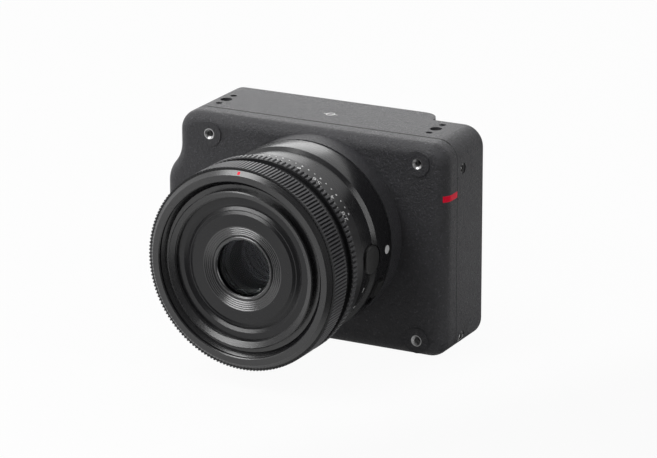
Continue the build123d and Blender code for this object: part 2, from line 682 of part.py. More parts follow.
with BuildPart() as lens_lock_pin:
    with BuildSketch(across(LEVER_DEPTH)):
        with Locations(((RELEASE_X - PIN_CIRCLE) / 2, AXIS_HEIGHT)):
            Rectangle(-RELEASE_X - PIN_CIRCLE + LEVER_WIDTH, LEVER_WIDTH)
    extrude(amount=-LEVER_THICKNESS)
    with BuildSketch(across(LEVER_DEPTH)):
        with Locations((-PIN_CIRCLE, AXIS_HEIGHT)):
            Circle(PIN_RADIUS)
    extrude(amount=LEVER_DEPTH + FLANGE_HEIGHT + PIN_ENGAGE)
finish("lens_lock_pin", lens_lock_pin)

# Sensor stack: package with its cover glass, on a board, on the bracket that the cover's posts carry
with BuildPart() as image_sensor:
    with BuildSketch(across(sensor_face + PACKAGE_BASE)):
        with Locations(lens_axis_place):
            RectangleRounded(SENSOR_WIDTH + 2 * PACKAGE_RIM, SENSOR_HEIGHT + 2 * PACKAGE_RIM, PACKAGE_CORNER)
    extrude(amount=PACKAGE_BASE + PACKAGE_LIP)
    with BuildSketch(across(sensor_face)):
        with Locations(lens_axis_place):
            Rectangle(SENSOR_WIDTH, SENSOR_HEIGHT)
    extrude(amount=PACKAGE_LIP, mode=Mode.SUBTRACT)
finish("image_sensor", image_sensor)

with BuildPart() as sensor_glass:
    with BuildSketch(across(sensor_face - PACKAGE_LIP)):
        with Locations(lens_axis_place):
            Rectangle(SENSOR_WIDTH + PACKAGE_RIM, SENSOR_HEIGHT + PACKAGE_RIM)
    extrude(amount=GLASS_THICKNESS)
finish("sensor_glass", sensor_glass)

with BuildPart() as sensor_board:
    with BuildSketch(across(sensor_face + PACKAGE_BASE)):
        with Locations(lens_axis_place):
            Rectangle(SENSOR_BOARD_X, SENSOR_BOARD_Z)
    extrude(amount=-SENSOR_BOARD)
finish("sensor_board", sensor_board)

with BuildPart() as sensor_bracket:
    with BuildSketch(across(board_back)):
        with Locations(lens_axis_place):
            RectangleRounded(BRACKET_X, BRACKET_Z, POST_RADIUS)
        with Locations(*post_places):
            Circle(POST_SCREW_RADIUS, mode=Mode.SUBTRACT)
    extrude(amount=-BRACKET_THICKNESS)
finish("sensor_bracket", sensor_bracket)

with BuildPart() as heat_spreader:
    with BuildSketch(across(board_back + BRACKET_THICKNESS)):
        with Locations(lens_axis_place):
            RectangleRounded(SPREADER_X, SPREADER_Z, POST_RADIUS)
    extrude(amount=-SPREADER_THICKNESS)
    fin_face = heat_spreader.faces().sort_by(Axis.Y)[-1]
    with BuildSketch(Plane(fin_face)):
        with GridLocations(SPREADER_X / FIN_COUNT, 0, FIN_COUNT - 1, 1):
            Rectangle(FIN_SLOT, SPREADER_Z)
    extrude(amount=-FIN_DEPTH, mode=Mode.SUBTRACT)
finish("heat_spreader", heat_spreader)

standoff_back = board_back + BRACKET_THICKNESS + STANDOFF_LENGTH
with BuildPart() as board_standoffs:
    with BuildSketch(across(board_back + BRACKET_THICKNESS)):
        with Locations(*post_places):
            RegularPolygon(STANDOFF_RADIUS, 6)
            Circle(POST_SCREW_RADIUS, mode=Mode.SUBTRACT)
    extrude(amount=-STANDOFF_LENGTH)
finish("board_standoffs", board_standoffs)

cage_half = CARD_THICKNESS / 2 + CAGE_WALL
board_left = CARD_X + cage_half
with BuildPart() as main_board:
    with BuildSketch(across(standoff_back)):
        with Locations(((board_left + BOARD_RIGHT) / 2, (BOARD_BOTTOM + BOARD_TOP) / 2)):
            Rectangle(BOARD_RIGHT - board_left, BOARD_TOP - BOARD_BOTTOM)
        with Locations(*post_places):
            Circle(POST_SCREW_RADIUS, mode=Mode.SUBTRACT)
    extrude(amount=-BOARD_THICKNESS)
finish("main_board", main_board)

# Card slot: pressed steel cage open to the rear, on the main board's edge
cage_mouth = cavity_back + (REAR_WALL - REAR_COVER_THICKNESS) - CAGE_SETBACK
with BuildPart() as card_slot:
    with BuildSketch(across(cage_mouth)):
        with Locations((CARD_X, CARD_Z)):
            Rectangle(2 * cage_half, CARD_WIDTH + 2 * CAGE_WALL)
    extrude(amount=CAGE_LENGTH)
    with BuildSketch(across(cage_mouth)):
        with Locations((CARD_X, CARD_Z)):
            Rectangle(CARD_THICKNESS, CARD_WIDTH)
    extrude(amount=CAGE_LENGTH - CAGE_WALL, mode=Mode.SUBTRACT)
finish("card_slot", card_slot)

# Rear cover: inset plate with the buttons' holes, the card opening and the status light
door_left = CARD_X - DOOR_WIDTH / 2
pin_x = door_left + REAR_COVER_THICKNESS / 2
pin_y = BLOCK_Y - REAR_COVER_THICKNESS / 2
buttons = {
    "menu_button": (MENU_X, MENU_Z, ROUND_BUTTON_RADIUS),
    "power_button": (POWER_BUTTON_X, POWER_BUTTON_Z, ROUND_BUTTON_RADIUS),
}
with BuildPart() as rear_cover:
    with BuildSketch(across(BLOCK_DEPTH)):
        with Locations(cover_centre):
            RectangleRounded(cover_width - 2 * SEAT_GAP, cover_height - 2 * SEAT_GAP,
                             REAR_COVER_CORNER - SEAT_GAP)
        with Locations((CARD_X, CARD_Z)):
            RectangleRounded(DOOR_WIDTH + 2 * DOOR_GAP, DOOR_HEIGHT + 2 * DOOR_GAP, DOOR_GAP,
                             mode=Mode.SUBTRACT)
        for x, z, radius in buttons.values():
            with Locations((x, z)):
                Circle(radius + BUTTON_GAP, mode=Mode.SUBTRACT)
        with Locations((PAD_X, PAD_Z)):
            Circle(PAD_OUTER + BUTTON_GAP, mode=Mode.SUBTRACT)
        with Locations((LIGHT_X, LIGHT_Z)):
            Circle(LIGHT_RADIUS, mode=Mode.SUBTRACT)
        with Locations(*screw_places):
            Circle(COVER_SCREW_RADIUS + SEAT_GAP, mode=Mode.SUBTRACT)
    extrude(amount=REAR_COVER_THICKNESS)
    with BuildSketch(across(BLOCK_DEPTH)):
        with Locations(*screw_places):
            Circle(COVER_SCREW_HEAD + SEAT_GAP)
    extrude(amount=REAR_COVER_THICKNESS / 2, mode=Mode.SUBTRACT)
    with BuildSketch(Plane.XY.offset(CARD_Z - DOOR_HEIGHT / 2 - DOOR_GAP - DOOR_PIN_ENDS)):
        with Locations((pin_x, pin_y)):
            Circle(DOOR_PIN_RADIUS)
    extrude(amount=DOOR_HEIGHT + 2 * (DOOR_GAP + DOOR_PIN_ENDS), mode=Mode.SUBTRACT)
finish("rear_cover", rear_cover)

with BuildPart() as rear_cover_screws:
    with BuildSketch(across(BLOCK_DEPTH - SEAT_GAP)):
        with Locations(*screw_places):
            Circle(COVER_SCREW_HEAD)
    extrude(amount=REAR_COVER_THICKNESS / 2 - SEAT_GAP)
    with BuildSketch(across(BLOCK_DEPTH - REAR_COVER_THICKNESS / 2)):
        with Locations(*screw_places):
            Circle(COVER_SCREW_RADIUS)
    extrude(amount=COVER_SCREW_LENGTH - REAR_COVER_THICKNESS / 2)
finish("rear_cover_screws", rear_cover_screws)

with BuildPart() as card_door:
    with BuildSketch(across(BLOCK_DEPTH)):
        with Locations((CARD_X, CARD_Z)):
            Rectangle(DOOR_WIDTH, DOOR_HEIGHT)
    extrude(amount=REAR_COVER_THICKNESS)
    hinge_edges = card_door.edges().filter_by(Axis.Z).group_by(Axis.X)[0]
    fillet(hinge_edges, radius=REAR_COVER_THICKNESS / 2 - SEAT_GAP)
    with BuildSketch(across(BLOCK_DEPTH)):
        with Locations((CARD_X + DOOR_WIDTH / 2, CARD_Z)):
            Circle(NAIL_NOTCH / 2)
    extrude(amount=NAIL_NOTCH_DEPTH, mode=Mode.SUBTRACT)
    with BuildSketch(Plane.XY.offset(CARD_Z - DOOR_HEIGHT / 2)):
        with Locations((pin_x, pin_y)):
            Circle(DOOR_PIN_RADIUS + RUNNING_GAP)
    extrude(amount=DOOR_HEIGHT, mode=Mode.SUBTRACT)
finish("card_door", card_door)

with BuildPart() as card_door_pin:
    with BuildSketch(Plane.XY.offset(CARD_Z - DOOR_HEIGHT / 2 - DOOR_GAP - DOOR_PIN_ENDS)):
        with Locations((pin_x, pin_y)):
            Circle(DOOR_PIN_RADIUS)
    extrude(amount=DOOR_HEIGHT + 2 * (DOOR_GAP + DOOR_PIN_ENDS))
finish("card_door_pin", card_door_pin)

with BuildPart() as status_light:
    with BuildSketch(across(BLOCK_DEPTH)):
        with Locations((LIGHT_X, LIGHT_Z)):
            Circle(LIGHT_RADIUS)
    extrude(amount=REAR_COVER_THICKNESS)
finish("status_light", status_light)

# Rear buttons: turned caps with a flange behind the cover
for button_name, (x, z, radius) in buttons.items():
    with BuildPart() as button:
        with BuildSketch(across(BLOCK_DEPTH + BUTTON_PROUD)):
            with Locations((x, z)):
                Circle(radius)
        extrude(amount=BUTTON_PROUD + REAR_COVER_THICKNESS + SEAT_GAP)
        fillet(button.faces().sort_by(Axis.Y)[-1].edges(), radius=BUTTON_PROUD / 2)
        with BuildSketch(across(BLOCK_DEPTH - REAR_COVER_THICKNESS - SEAT_GAP)):
            with Locations((x, z)):
                Circle(radius + BUTTON_FLANGE_LIP)
        extrude(amount=BUTTON_FLANGE)
    finish(button_name, button)

# Direction pad: ring that tilts under the thumb, round the enter button
pad_back = BLOCK_DEPTH - REAR_COVER_THICKNESS - PAD_TILT_ROOM
with BuildPart() as direction_pad:
    with BuildSketch(across(BLOCK_DEPTH + BUTTON_PROUD)):
        with Locations((PAD_X, PAD_Z)):
            Circle(PAD_OUTER)
    extrude(amount=BLOCK_DEPTH + BUTTON_PROUD - pad_back)
    fillet(direction_pad.faces().sort_by(Axis.Y)[-1].edges(), radius=BUTTON_PROUD / 2)
    with BuildSketch(across(pad_back)):
        with Locations((PAD_X, PAD_Z)):
            Circle(PAD_OUTER + BUTTON_FLANGE_LIP)
    extrude(amount=BUTTON_FLANGE)
    with BuildSketch(across(BLOCK_DEPTH + BUTTON_PROUD)):
        with Locations((PAD_X, PAD_Z)):
            Circle(ENTER_RADIUS + BUTTON_GAP)
    extrude(amount=BUTTON_PROUD + BLOCK_DEPTH, mode=Mode.SUBTRACT)
finish("direction_pad", direction_pad)

enter_back = pad_back - BUTTON_FLANGE - PAD_TILT_ROOM
with BuildPart() as enter_button:
    with BuildSketch(across(BLOCK_DEPTH + BUTTON_PROUD)):
        with Locations((PAD_X, PAD_Z)):
            Circle(ENTER_RADIUS)
    extrude(amount=BLOCK_DEPTH + BUTTON_PROUD - enter_back)
    fillet(enter_button.faces().sort_by(Axis.Y)[-1].edges(), radius=BUTTON_PROUD / 2)
    with BuildSketch(across(enter_back)):
        with Locations((PAD_X, PAD_Z)):
            Circle(ENTER_RADIUS + BUTTON_FLANGE_LIP)
    extrude(amount=BUTTON_FLANGE)
finish("enter_button", enter_button)

# Sockets on the recessed strip: a shell with a tongue, standing on the main board
socket_depth = STRIP_DEPTH - (standoff_back + BOARD_THICKNESS)
for socket_name, (size, height) in sockets.items():
    with BuildPart() as socket:
        with BuildSketch(across(STRIP_DEPTH)):
            with Locations((CONNECTOR_X, height)):
                RectangleRounded(size[0], size[1], SOCKET_CORNER)
        extrude(amount=socket_depth)
        with BuildSketch(across(STRIP_DEPTH)):
            with Locations((CONNECTOR_X, height)):
                RectangleRounded(size[0] - 2 * SOCKET_WALL, size[1] - 2 * SOCKET_WALL,
                                 SOCKET_CORNER - SOCKET_WALL)
        extrude(amount=socket_depth - TONGUE_THICKNESS, mode=Mode.SUBTRACT)
        with BuildSketch(across(STRIP_DEPTH - TONGUE_THICKNESS)):
            with Locations((CONNECTOR_X, height)):
                Rectangle(size[0] - 2 * TONGUE_MARGIN, TONGUE_THICKNESS)
        extrude(amount=socket_depth - 2 * TONGUE_THICKNESS)
    finish(socket_name, socket)


# Ribbed rings of the lens
def ribbed_outline(ribs, tip):
    """Outline of a ring with straight ribs: alternate stretches at the tip and at the root radius."""
    pitch = 360 / ribs
    corners = ((0, tip - RIB_HEIGHT), (RIB_FLANK, tip), (1 - RIB_FLANK, tip))
    return [
        (radius * cos(radians(pitch * (rib + share))), radius * sin(radians(pitch * (rib + share))))
        for rib in range(ribs) for share, radius in corners
    ]


def turned_lens(*points):
    """Draws a closed profile of a lens section from (radius, distance ahead of the flange) points."""
    return Polygon(*points, align=None)


def rib_blank(back, front):
    """Section of a ribbed ring with its two bevelled ends, which trims the ribs to length."""
    return turned_lens((RING_BORE, back), (GRIP_RADIUS - RIB_CHAMFER, back),
                       (GRIP_RADIUS, back + RIB_CHAMFER), (GRIP_RADIUS, front - RIB_CHAMFER),
                       (GRIP_RADIUS - RIB_CHAMFER, front), (RING_BORE, front))


# Bayonet of the lens: flange, tube and three lugs that grip behind the body's ring
with BuildPart() as lens_mount:
    with BuildSketch(lens_section()):
        turned_lens((MOUNT_TUBE_BORE, -MOUNT_TUBE_LENGTH), (MOUNT_TUBE_RADIUS, -MOUNT_TUBE_LENGTH),
                    (MOUNT_TUBE_RADIUS, 0), (RING_RADIUS, 0), (RING_RADIUS, MOUNT_FLANGE),
                    (MOUNT_TUBE_BORE, MOUNT_FLANGE))
    revolve(axis=LENS_AXIS)
    for lug in range(LUG_COUNT):
        start = lug * 360 / LUG_COUNT + 90 - LUG_ANGLE / 2
        with BuildSketch(lens_section(start)):
            band(MOUNT_TUBE_RADIUS - SEAT_GAP, LUG_RADIUS, -RING_THICKNESS - SEAT_GAP - LUG_THICKNESS,
                 -RING_THICKNESS - SEAT_GAP)
        revolve(axis=LENS_AXIS, revolution_arc=LUG_ANGLE)
    with BuildSketch(lens_plane(0)):
        with Locations((-PIN_CIRCLE, 0)):
            Circle(PIN_RADIUS + RUNNING_GAP)
    extrude(amount=PIN_ENGAGE + SEAT_GAP, mode=Mode.SUBTRACT)
finish("lens_mount", lens_mount)

# Lens barrel: outer shell from the mount to the aperture ring, with its step and the control openings
with BuildPart() as lens_barrel:
    with BuildSketch(lens_section()):
        turned_lens((RING_RADIUS + SEAT_GAP, BARREL_START), (BARREL_TAIL_RADIUS, BARREL_START),
                    (BARREL_RADIUS, BARREL_START + BARREL_BACK_WALL), (BARREL_RADIUS, BARREL_STEP),
                    (BARREL_FRONT_RADIUS, BARREL_STEP + BARREL_STEP_LENGTH),
                    (BARREL_FRONT_RADIUS, barrel_front), (BARREL_BORE, barrel_front),
                    (BARREL_BORE, MOUNT_FLANGE + BARREL_BACK_WALL),
                    (MOUNT_TUBE_RADIUS + SEAT_GAP, MOUNT_FLANGE + BARREL_BACK_WALL),
                    (MOUNT_TUBE_RADIUS + SEAT_GAP, MOUNT_FLANGE), (RING_RADIUS + SEAT_GAP, MOUNT_FLANGE))
    revolve(axis=LENS_AXIS)
    with BuildSketch(Plane.YZ.offset(BARREL_RADIUS + SEAT_GAP)):
        with Locations((FLANGE_Y - hold_ahead, hold_height)):
            Circle(HOLD_RADIUS + HOLD_GAP)
    extrude(amount=BARREL_BORE - BARREL_RADIUS - SWITCH_SINK, mode=Mode.SUBTRACT)
    for centre in (FOCUS_SWITCH_ANGLE, CLICK_SWITCH_ANGLE):
        with BuildSketch(lens_section(centre - SWITCH_WINDOW_ANGLE / 2)):
            band(BARREL_RADIUS - SWITCH_SINK, BARREL_RADIUS + SWITCH_SINK, SWITCH_BACK,
                 SWITCH_BACK + SWITCH_WIDTH)
            band(BARREL_BORE - SWITCH_SINK, BARREL_RADIUS,
                 SWITCH_BACK + SWITCH_WIDTH / 2 - SWITCH_STEM / 2 - SWITCH_GAP,
                 SWITCH_BACK + SWITCH_WIDTH / 2 + SWITCH_STEM / 2 + SWITCH_GAP)
        revolve(axis=LENS_AXIS, revolution_arc=SWITCH_WINDOW_ANGLE, mode=Mode.SUBTRACT)
finish("lens_barrel", lens_barrel)

# Inner barrel: the frame that carries both rings outside and the optical groups inside
tail_radius = BARREL_BORE - SEAT_GAP
tail_bore = tail_radius - INNER_WALL
ring_seat = RING_BORE - RUNNING_GAP
with BuildPart() as inner_barrel:
    with BuildSketch(lens_section()):
        turned_lens((tail_bore, inner_start), (tail_radius, inner_start), (tail_radius, barrel_front),
                    (ring_seat, barrel_front), (ring_seat, spacer_back), (SPACER_RADIUS, spacer_back),
                    (SPACER_RADIUS, spacer_front), (ring_seat, spacer_front), (ring_seat, rim_back),
                    (FRONT_SLEEVE_RADIUS + RUNNING_GAP, rim_back),
                    (FRONT_SLEEVE_RADIUS + RUNNING_GAP, bulkhead_front), (BULKHEAD_BORE, bulkhead_front),
                    (BULKHEAD_BORE, bulkhead_front - BULKHEAD), (tail_bore, bulkhead_front - BULKHEAD))
    revolve(axis=LENS_AXIS)
    pocket_floor = HOLD_FLANGE_FACE - HOLD_FLANGE - HOLD_TRAVEL - HOLD_GAP
    with BuildSketch(Plane.YZ.offset(pocket_floor)):
        with Locations((FLANGE_Y - hold_ahead, hold_height)):
            Circle(HOLD_RADIUS + HOLD_FLANGE_LIP + HOLD_GAP)
    extrude(amount=BARREL_RADIUS - pocket_floor, mode=Mode.SUBTRACT)
finish("inner_barrel", inner_barrel)

# Aperture ring: a ribbed grip in front of the smooth land for its scale
with BuildPart() as aperture_ring:
    with BuildSketch(lens_plane(aperture_ribs_start)):
        Polygon(*ribbed_outline(APERTURE_RIBS, GRIP_RADIUS), align=None)
        Circle(RING_BORE, mode=Mode.SUBTRACT)
    extrude(amount=aperture_ring_end - aperture_ribs_start)
    with BuildSketch(lens_section()):
        rib_blank(aperture_ribs_start, aperture_ring_end)
    revolve(axis=LENS_AXIS, mode=Mode.INTERSECT)
    with BuildSketch(lens_section()):
        band(RING_BORE, APERTURE_LAND_RADIUS, barrel_front + AXIAL_GAP, aperture_ribs_start)
    revolve(axis=LENS_AXIS)
finish("aperture_ring", aperture_ring)

# Focus ring: finely ribbed all the way across
with BuildPart() as focus_ring:
    with BuildSketch(lens_plane(spacer_front + AXIAL_GAP)):
        Polygon(*ribbed_outline(FOCUS_RIBS, GRIP_RADIUS), align=None)
        Circle(RING_BORE, mode=Mode.SUBTRACT)
    extrude(amount=focus_ring_end - spacer_front - AXIAL_GAP)
    with BuildSketch(lens_section()):
        rib_blank(spacer_front + AXIAL_GAP, focus_ring_end)
    revolve(axis=LENS_AXIS, mode=Mode.INTERSECT)
finish("focus_ring", focus_ring)

# Front ring: bevelled rim, hood groove and the tube with the filter thread
filter_lip = LENS_LENGTH - FILTER_LIP_BACKSET
thread_mouth = filter_lip - LIP_BEVEL_DEPTH
thread_end = thread_mouth - FILTER_THREAD
ridge_face = thread_end - SEAT_GAP
name_face = ridge_face - NAME_RIDGE_HEIGHT
name_seat = name_face - NAME_PLATE
groove_floor = LENS_LENGTH - GROOVE_DEPTH
bevel = RIM_RADIUS - RIM_FLAT_RADIUS
with BuildPart() as front_ring:
    with BuildSketch(lens_section()):
        turned_lens((NAME_SEAT_BORE, front_sleeve_back), (FRONT_SLEEVE_RADIUS, front_sleeve_back),
                    (FRONT_SLEEVE_RADIUS, rim_back), (RIM_RADIUS, rim_back),
                    (RIM_RADIUS, LENS_LENGTH - bevel), (RIM_FLAT_RADIUS, LENS_LENGTH),
                    (GROOVE_OUTER, LENS_LENGTH), (GROOVE_OUTER, rim_back + bevel / 2),
                    (GROOVE_FLOOR_OUTER, groove_floor), (GROOVE_INNER, groove_floor),
                    (GROOVE_INNER, filter_lip), (FILTER_BORE + LIP_BEVEL, filter_lip),
                    (FILTER_BORE, thread_mouth), (FILTER_BORE, thread_end), (NAME_RADIUS, thread_end),
                    (NAME_RADIUS, name_seat), (NAME_SEAT_BORE, name_seat))
    revolve(axis=LENS_AXIS)
finish("front_ring", front_ring)

# Name ring: plate behind the filter thread, with a flat ridge, fine steps to the glass and a recess
# behind them that takes the front cell
glass_edge = ridge_face - NAME_DISH
glass_seat = glass_edge - NAME_LIP
cell_radius = FRONT_ELEMENT_RADIUS + CELL_WALL
step_width = (NAME_RIDGE_INNER - NAME_HOLE) / NAME_STEPS
step_fall = NAME_DISH / (NAME_STEPS + 1)
steps = [
    point for i in range(NAME_STEPS)
    for point in ((NAME_RIDGE_INNER - i * step_width, ridge_face - (i + 1) * step_fall),
                  (NAME_RIDGE_INNER - (i + 1) * step_width, ridge_face - (i + 1) * step_fall))
]
with BuildPart() as name_ring:
    with BuildSketch(lens_section()):
        turned_lens((NAME_HOLE, glass_seat), (cell_radius + SEAT_GAP, glass_seat),
                    (cell_radius + SEAT_GAP, name_seat), (NAME_RADIUS - RUNNING_GAP, name_seat),
                    (NAME_RADIUS - RUNNING_GAP, name_face), (NAME_RIDGE_FOOT, name_face),
                    (NAME_RIDGE_SHOULDER, ridge_face - NAME_SHOULDER_DROP),
                    (NAME_RIDGE_OUTER, ridge_face), (NAME_RIDGE_INNER, ridge_face), *steps)
    revolve(axis=LENS_AXIS)
finish("name_ring", name_ring)

# Front cell and its two elements, screwed on the front of the bulkhead
element_rim = glass_seat - FRONT_ELEMENT_SINK
element_back = element_rim - FRONT_ELEMENT_EDGE
second_front = element_back - CELL_SEAT
with BuildPart() as front_cell:
    with BuildSketch(lens_section()):
        turned_lens((SECOND_ELEMENT_RADIUS - CELL_SEAT, bulkhead_front), (CELL_FLANGE, bulkhead_front),
                    (CELL_FLANGE, bulkhead_front + CELL_FLANGE_THICKNESS),
                    (cell_radius, bulkhead_front + CELL_FLANGE_THICKNESS),
                    (cell_radius, glass_seat - SEAT_GAP),
                    (FRONT_ELEMENT_RADIUS + RUNNING_GAP, glass_seat - SEAT_GAP),
                    (FRONT_ELEMENT_RADIUS + RUNNING_GAP, element_back),
                    (SECOND_ELEMENT_RADIUS + RUNNING_GAP, element_back),
                    (SECOND_ELEMENT_RADIUS + RUNNING_GAP, second_front - SECOND_ELEMENT_THICKNESS),
                    (SECOND_ELEMENT_RADIUS - CELL_SEAT, second_front - SECOND_ELEMENT_THICKNESS))
    revolve(axis=LENS_AXIS)
finish("front_cell", front_cell)


def element_face(radius, rim, bow):
    """Spherical face of a lens element, as an arc from the axis to its rim; bow is ahead at the axis."""
    middle = radius / 2
    return ThreePointArc((0, rim + bow), (middle, rim + bow * 3 / 4), (radius, rim))


# Elements: ground glass discs, each turned from its own section
front_bow = FRONT_ELEMENT_RADIUS ** 2 / (2 * FRONT_ELEMENT_CROWN)
focus_rim = focus_cell_back + FOCUS_SEAT + 2 * SEAT_GAP
element_list = {
    "front_element": (FRONT_ELEMENT_RADIUS, element_back, element_rim, 0.0, front_bow),
    "second_element": (SECOND_ELEMENT_RADIUS, second_front - SECOND_ELEMENT_THICKNESS, second_front,
                       front_bow / 2, -front_bow / 2),
    "focus_element": (FOCUS_ELEMENT_RADIUS, focus_rim, focus_rim + FOCUS_ELEMENT_THICKNESS,
                      -front_bow / 2, front_bow / 2),
    "rear_element": (REAR_ELEMENT_RADIUS, -REAR_ELEMENT_THICKNESS / 2, REAR_ELEMENT_THICKNESS / 2,
                     -front_bow / 2, -front_bow / 2),
}
for element_name, (radius, back, front, back_bow, front_bow_out) in element_list.items():
    with BuildPart() as element:
        with BuildSketch(lens_section()):
            with BuildLine():
                if back_bow:
                    element_face(radius, back, back_bow)
                else:
                    Line((0, back), (radius, back))
                Line((radius, back), (radius, front))
                element_face(radius, front, front_bow_out)
                Line((0, front + front_bow_out), (0, back + back_bow))
            make_face()
        revolve(axis=LENS_AXIS)
    finish(element_name, element)

# Iris: base cup, seven stacked blades on pivots, the ring that drives them and its cover
pivot_angles = [360 * k / BLADE_COUNT for k in range(BLADE_COUNT)]
drive_circle = BLADE_PIVOT_CIRCLE + BLADE_ARM
ring_radius = drive_circle + BLADE_PIN_RADIUS + IRIS_SLOT_MARGIN + IRIS_PLATE
cup_bore = ring_radius + IRIS_CLEARANCE
with BuildPart() as iris_base:
    with BuildSketch(lens_section()):
        turned_lens((IRIS_HOLE, iris_front - IRIS_PLATE), (cup_bore, iris_front - IRIS_PLATE),
                    (cup_bore, ring_back - IRIS_RING_GAP), (cup_bore + IRIS_RIM, ring_back - IRIS_RING_GAP),
                    (cup_bore + IRIS_RIM, iris_front), (IRIS_HOLE, iris_front))
    revolve(axis=LENS_AXIS)
    with BuildSketch(lens_plane(iris_front - IRIS_PLATE)):
        with PolarLocations(BLADE_PIVOT_CIRCLE, BLADE_COUNT):
            Circle(BLADE_PIN_RADIUS + RUNNING_GAP)
    extrude(amount=IRIS_PLATE, mode=Mode.SUBTRACT)
finish("iris_base", iris_base)

with BuildPart() as iris_ring:
    with BuildSketch(lens_plane(ring_front)):
        Circle(ring_radius)
        Circle(BLADE_INNER_RADIUS, mode=Mode.SUBTRACT)
        with PolarLocations(drive_circle - IRIS_SLOT_MARGIN / 2, BLADE_COUNT):
            SlotCenterToCenter(IRIS_SLOT_MARGIN * 2, 2 * (BLADE_PIN_RADIUS + IRIS_CLEARANCE),
                               mode=Mode.SUBTRACT)
    extrude(amount=-IRIS_PLATE)
finish("iris_ring", iris_ring)

with BuildPart() as iris_cover:
    with BuildSketch(lens_section()):
        band(BLADE_INNER_RADIUS, IRIS_COVER_RADIUS, cover_back, ring_back - IRIS_RING_GAP)
    revolve(axis=LENS_AXIS)
finish("iris_cover", iris_cover)

for blade_index, pivot_angle in enumerate(pivot_angles):
    blade_face = first_blade - blade_index * BLADE_PITCH
    angles = [radians(pivot_angle - share * BLADE_SPAN) for share in (0, 1 / 2, 1)]
    with BuildPart() as blade:
        with BuildSketch(lens_plane(blade_face)):
            with BuildLine():
                outer_arc = ThreePointArc(*[
                    (BLADE_OUTER_RADIUS * cos(a), BLADE_OUTER_RADIUS * sin(a)) for a in angles
                ])
                inner_arc = ThreePointArc(*[
                    (BLADE_INNER_RADIUS * cos(a), BLADE_INNER_RADIUS * sin(a)) for a in reversed(angles)
                ])
                Line(outer_arc @ 1, inner_arc @ 0)
                Line(inner_arc @ 1, outer_arc @ 0)
            make_face()
            arm = drive_circle - BLADE_INNER_RADIUS + BLADE_HEAD_RADIUS
            with PolarLocations(BLADE_INNER_RADIUS + arm / 2, 1, start_angle=pivot_angle):
                SlotOverall(arm, 2 * BLADE_HEAD_RADIUS)
        extrude(amount=-BLADE_THICKNESS)
        with BuildSketch(lens_plane(blade_face)):
            with PolarLocations(BLADE_PIVOT_CIRCLE, 1, start_angle=pivot_angle):
                Circle(BLADE_PIN_RADIUS)
        extrude(amount=iris_front - blade_face - SEAT_GAP)
        with BuildSketch(lens_plane(blade_face - BLADE_THICKNESS)):
            with PolarLocations(drive_circle, 1, start_angle=pivot_angle):
                Circle(BLADE_PIN_RADIUS)
        extrude(amount=ring_back + SEAT_GAP - blade_face + BLADE_THICKNESS)
    finish(f"iris_blade_{blade_index + 1}", blade)

# Focus group: cell that slides on two rods between the rear cell and the iris cover
with BuildPart() as focus_cell:
    with BuildSketch(lens_plane(focus_cell_back)):
        Circle(FOCUS_CELL_RADIUS)
        for angle in ROD_ANGLES:
            with PolarLocations((FOCUS_CELL_RADIUS + ROD_CIRCLE) / 2, 1, start_angle=angle):
                SlotOverall(ROD_CIRCLE - FOCUS_CELL_RADIUS + 2 * ROD_EAR_RADIUS, 2 * ROD_EAR_RADIUS)
            with PolarLocations(ROD_CIRCLE, 1, start_angle=angle):
                Circle(ROD_RADIUS + RUNNING_GAP, mode=Mode.SUBTRACT)
        Circle(FOCUS_ELEMENT_RADIUS - CELL_SEAT, mode=Mode.SUBTRACT)
    extrude(amount=FOCUS_CELL_LENGTH)
    with BuildSketch(lens_plane(focus_cell_back + FOCUS_SEAT)):
        Circle(FOCUS_ELEMENT_RADIUS + RUNNING_GAP)
    extrude(amount=FOCUS_CELL_LENGTH - FOCUS_SEAT, mode=Mode.SUBTRACT)
finish("focus_cell", focus_cell)

with BuildPart() as guide_rods:
    for angle in ROD_ANGLES:
        with BuildSketch(lens_plane(rear_plate_front)):
            with PolarLocations(ROD_CIRCLE, 1, start_angle=angle):
                Circle(ROD_RADIUS)
        extrude(amount=cover_back - rear_plate_front)
finish("guide_rods", guide_rods)

# Rear cell: plate against the barrel's back wall, the tube that holds the rear element, and the
# rib at the bottom of its tail that carries the lens contacts
with BuildPart() as rear_cell:
    with BuildSketch(lens_section()):
        turned_lens((REAR_ELEMENT_RADIUS + RUNNING_GAP, -REAR_CELL_TAIL), (REAR_CELL_RADIUS, -REAR_CELL_TAIL),
                    (REAR_CELL_RADIUS, inner_start), (tail_bore - RUNNING_GAP, inner_start),
                    (tail_bore - RUNNING_GAP, rear_plate_front),
                    (REAR_ELEMENT_RADIUS - CELL_SEAT, rear_plate_front),
                    (REAR_ELEMENT_RADIUS - CELL_SEAT, REAR_ELEMENT_THICKNESS / 2 + SEAT_GAP),
                    (REAR_ELEMENT_RADIUS + RUNNING_GAP, REAR_ELEMENT_THICKNESS / 2 + SEAT_GAP))
    revolve(axis=LENS_AXIS)
    with BuildSketch(lens_section(270 - CONTACT_ARC / 2)):
        band(CONTACT_INNER, REAR_CELL_RADIUS, -MOUNT_TUBE_LENGTH, -REAR_CELL_TAIL)
    revolve(axis=LENS_AXIS, revolution_arc=CONTACT_ARC)
finish("rear_cell", rear_cell)

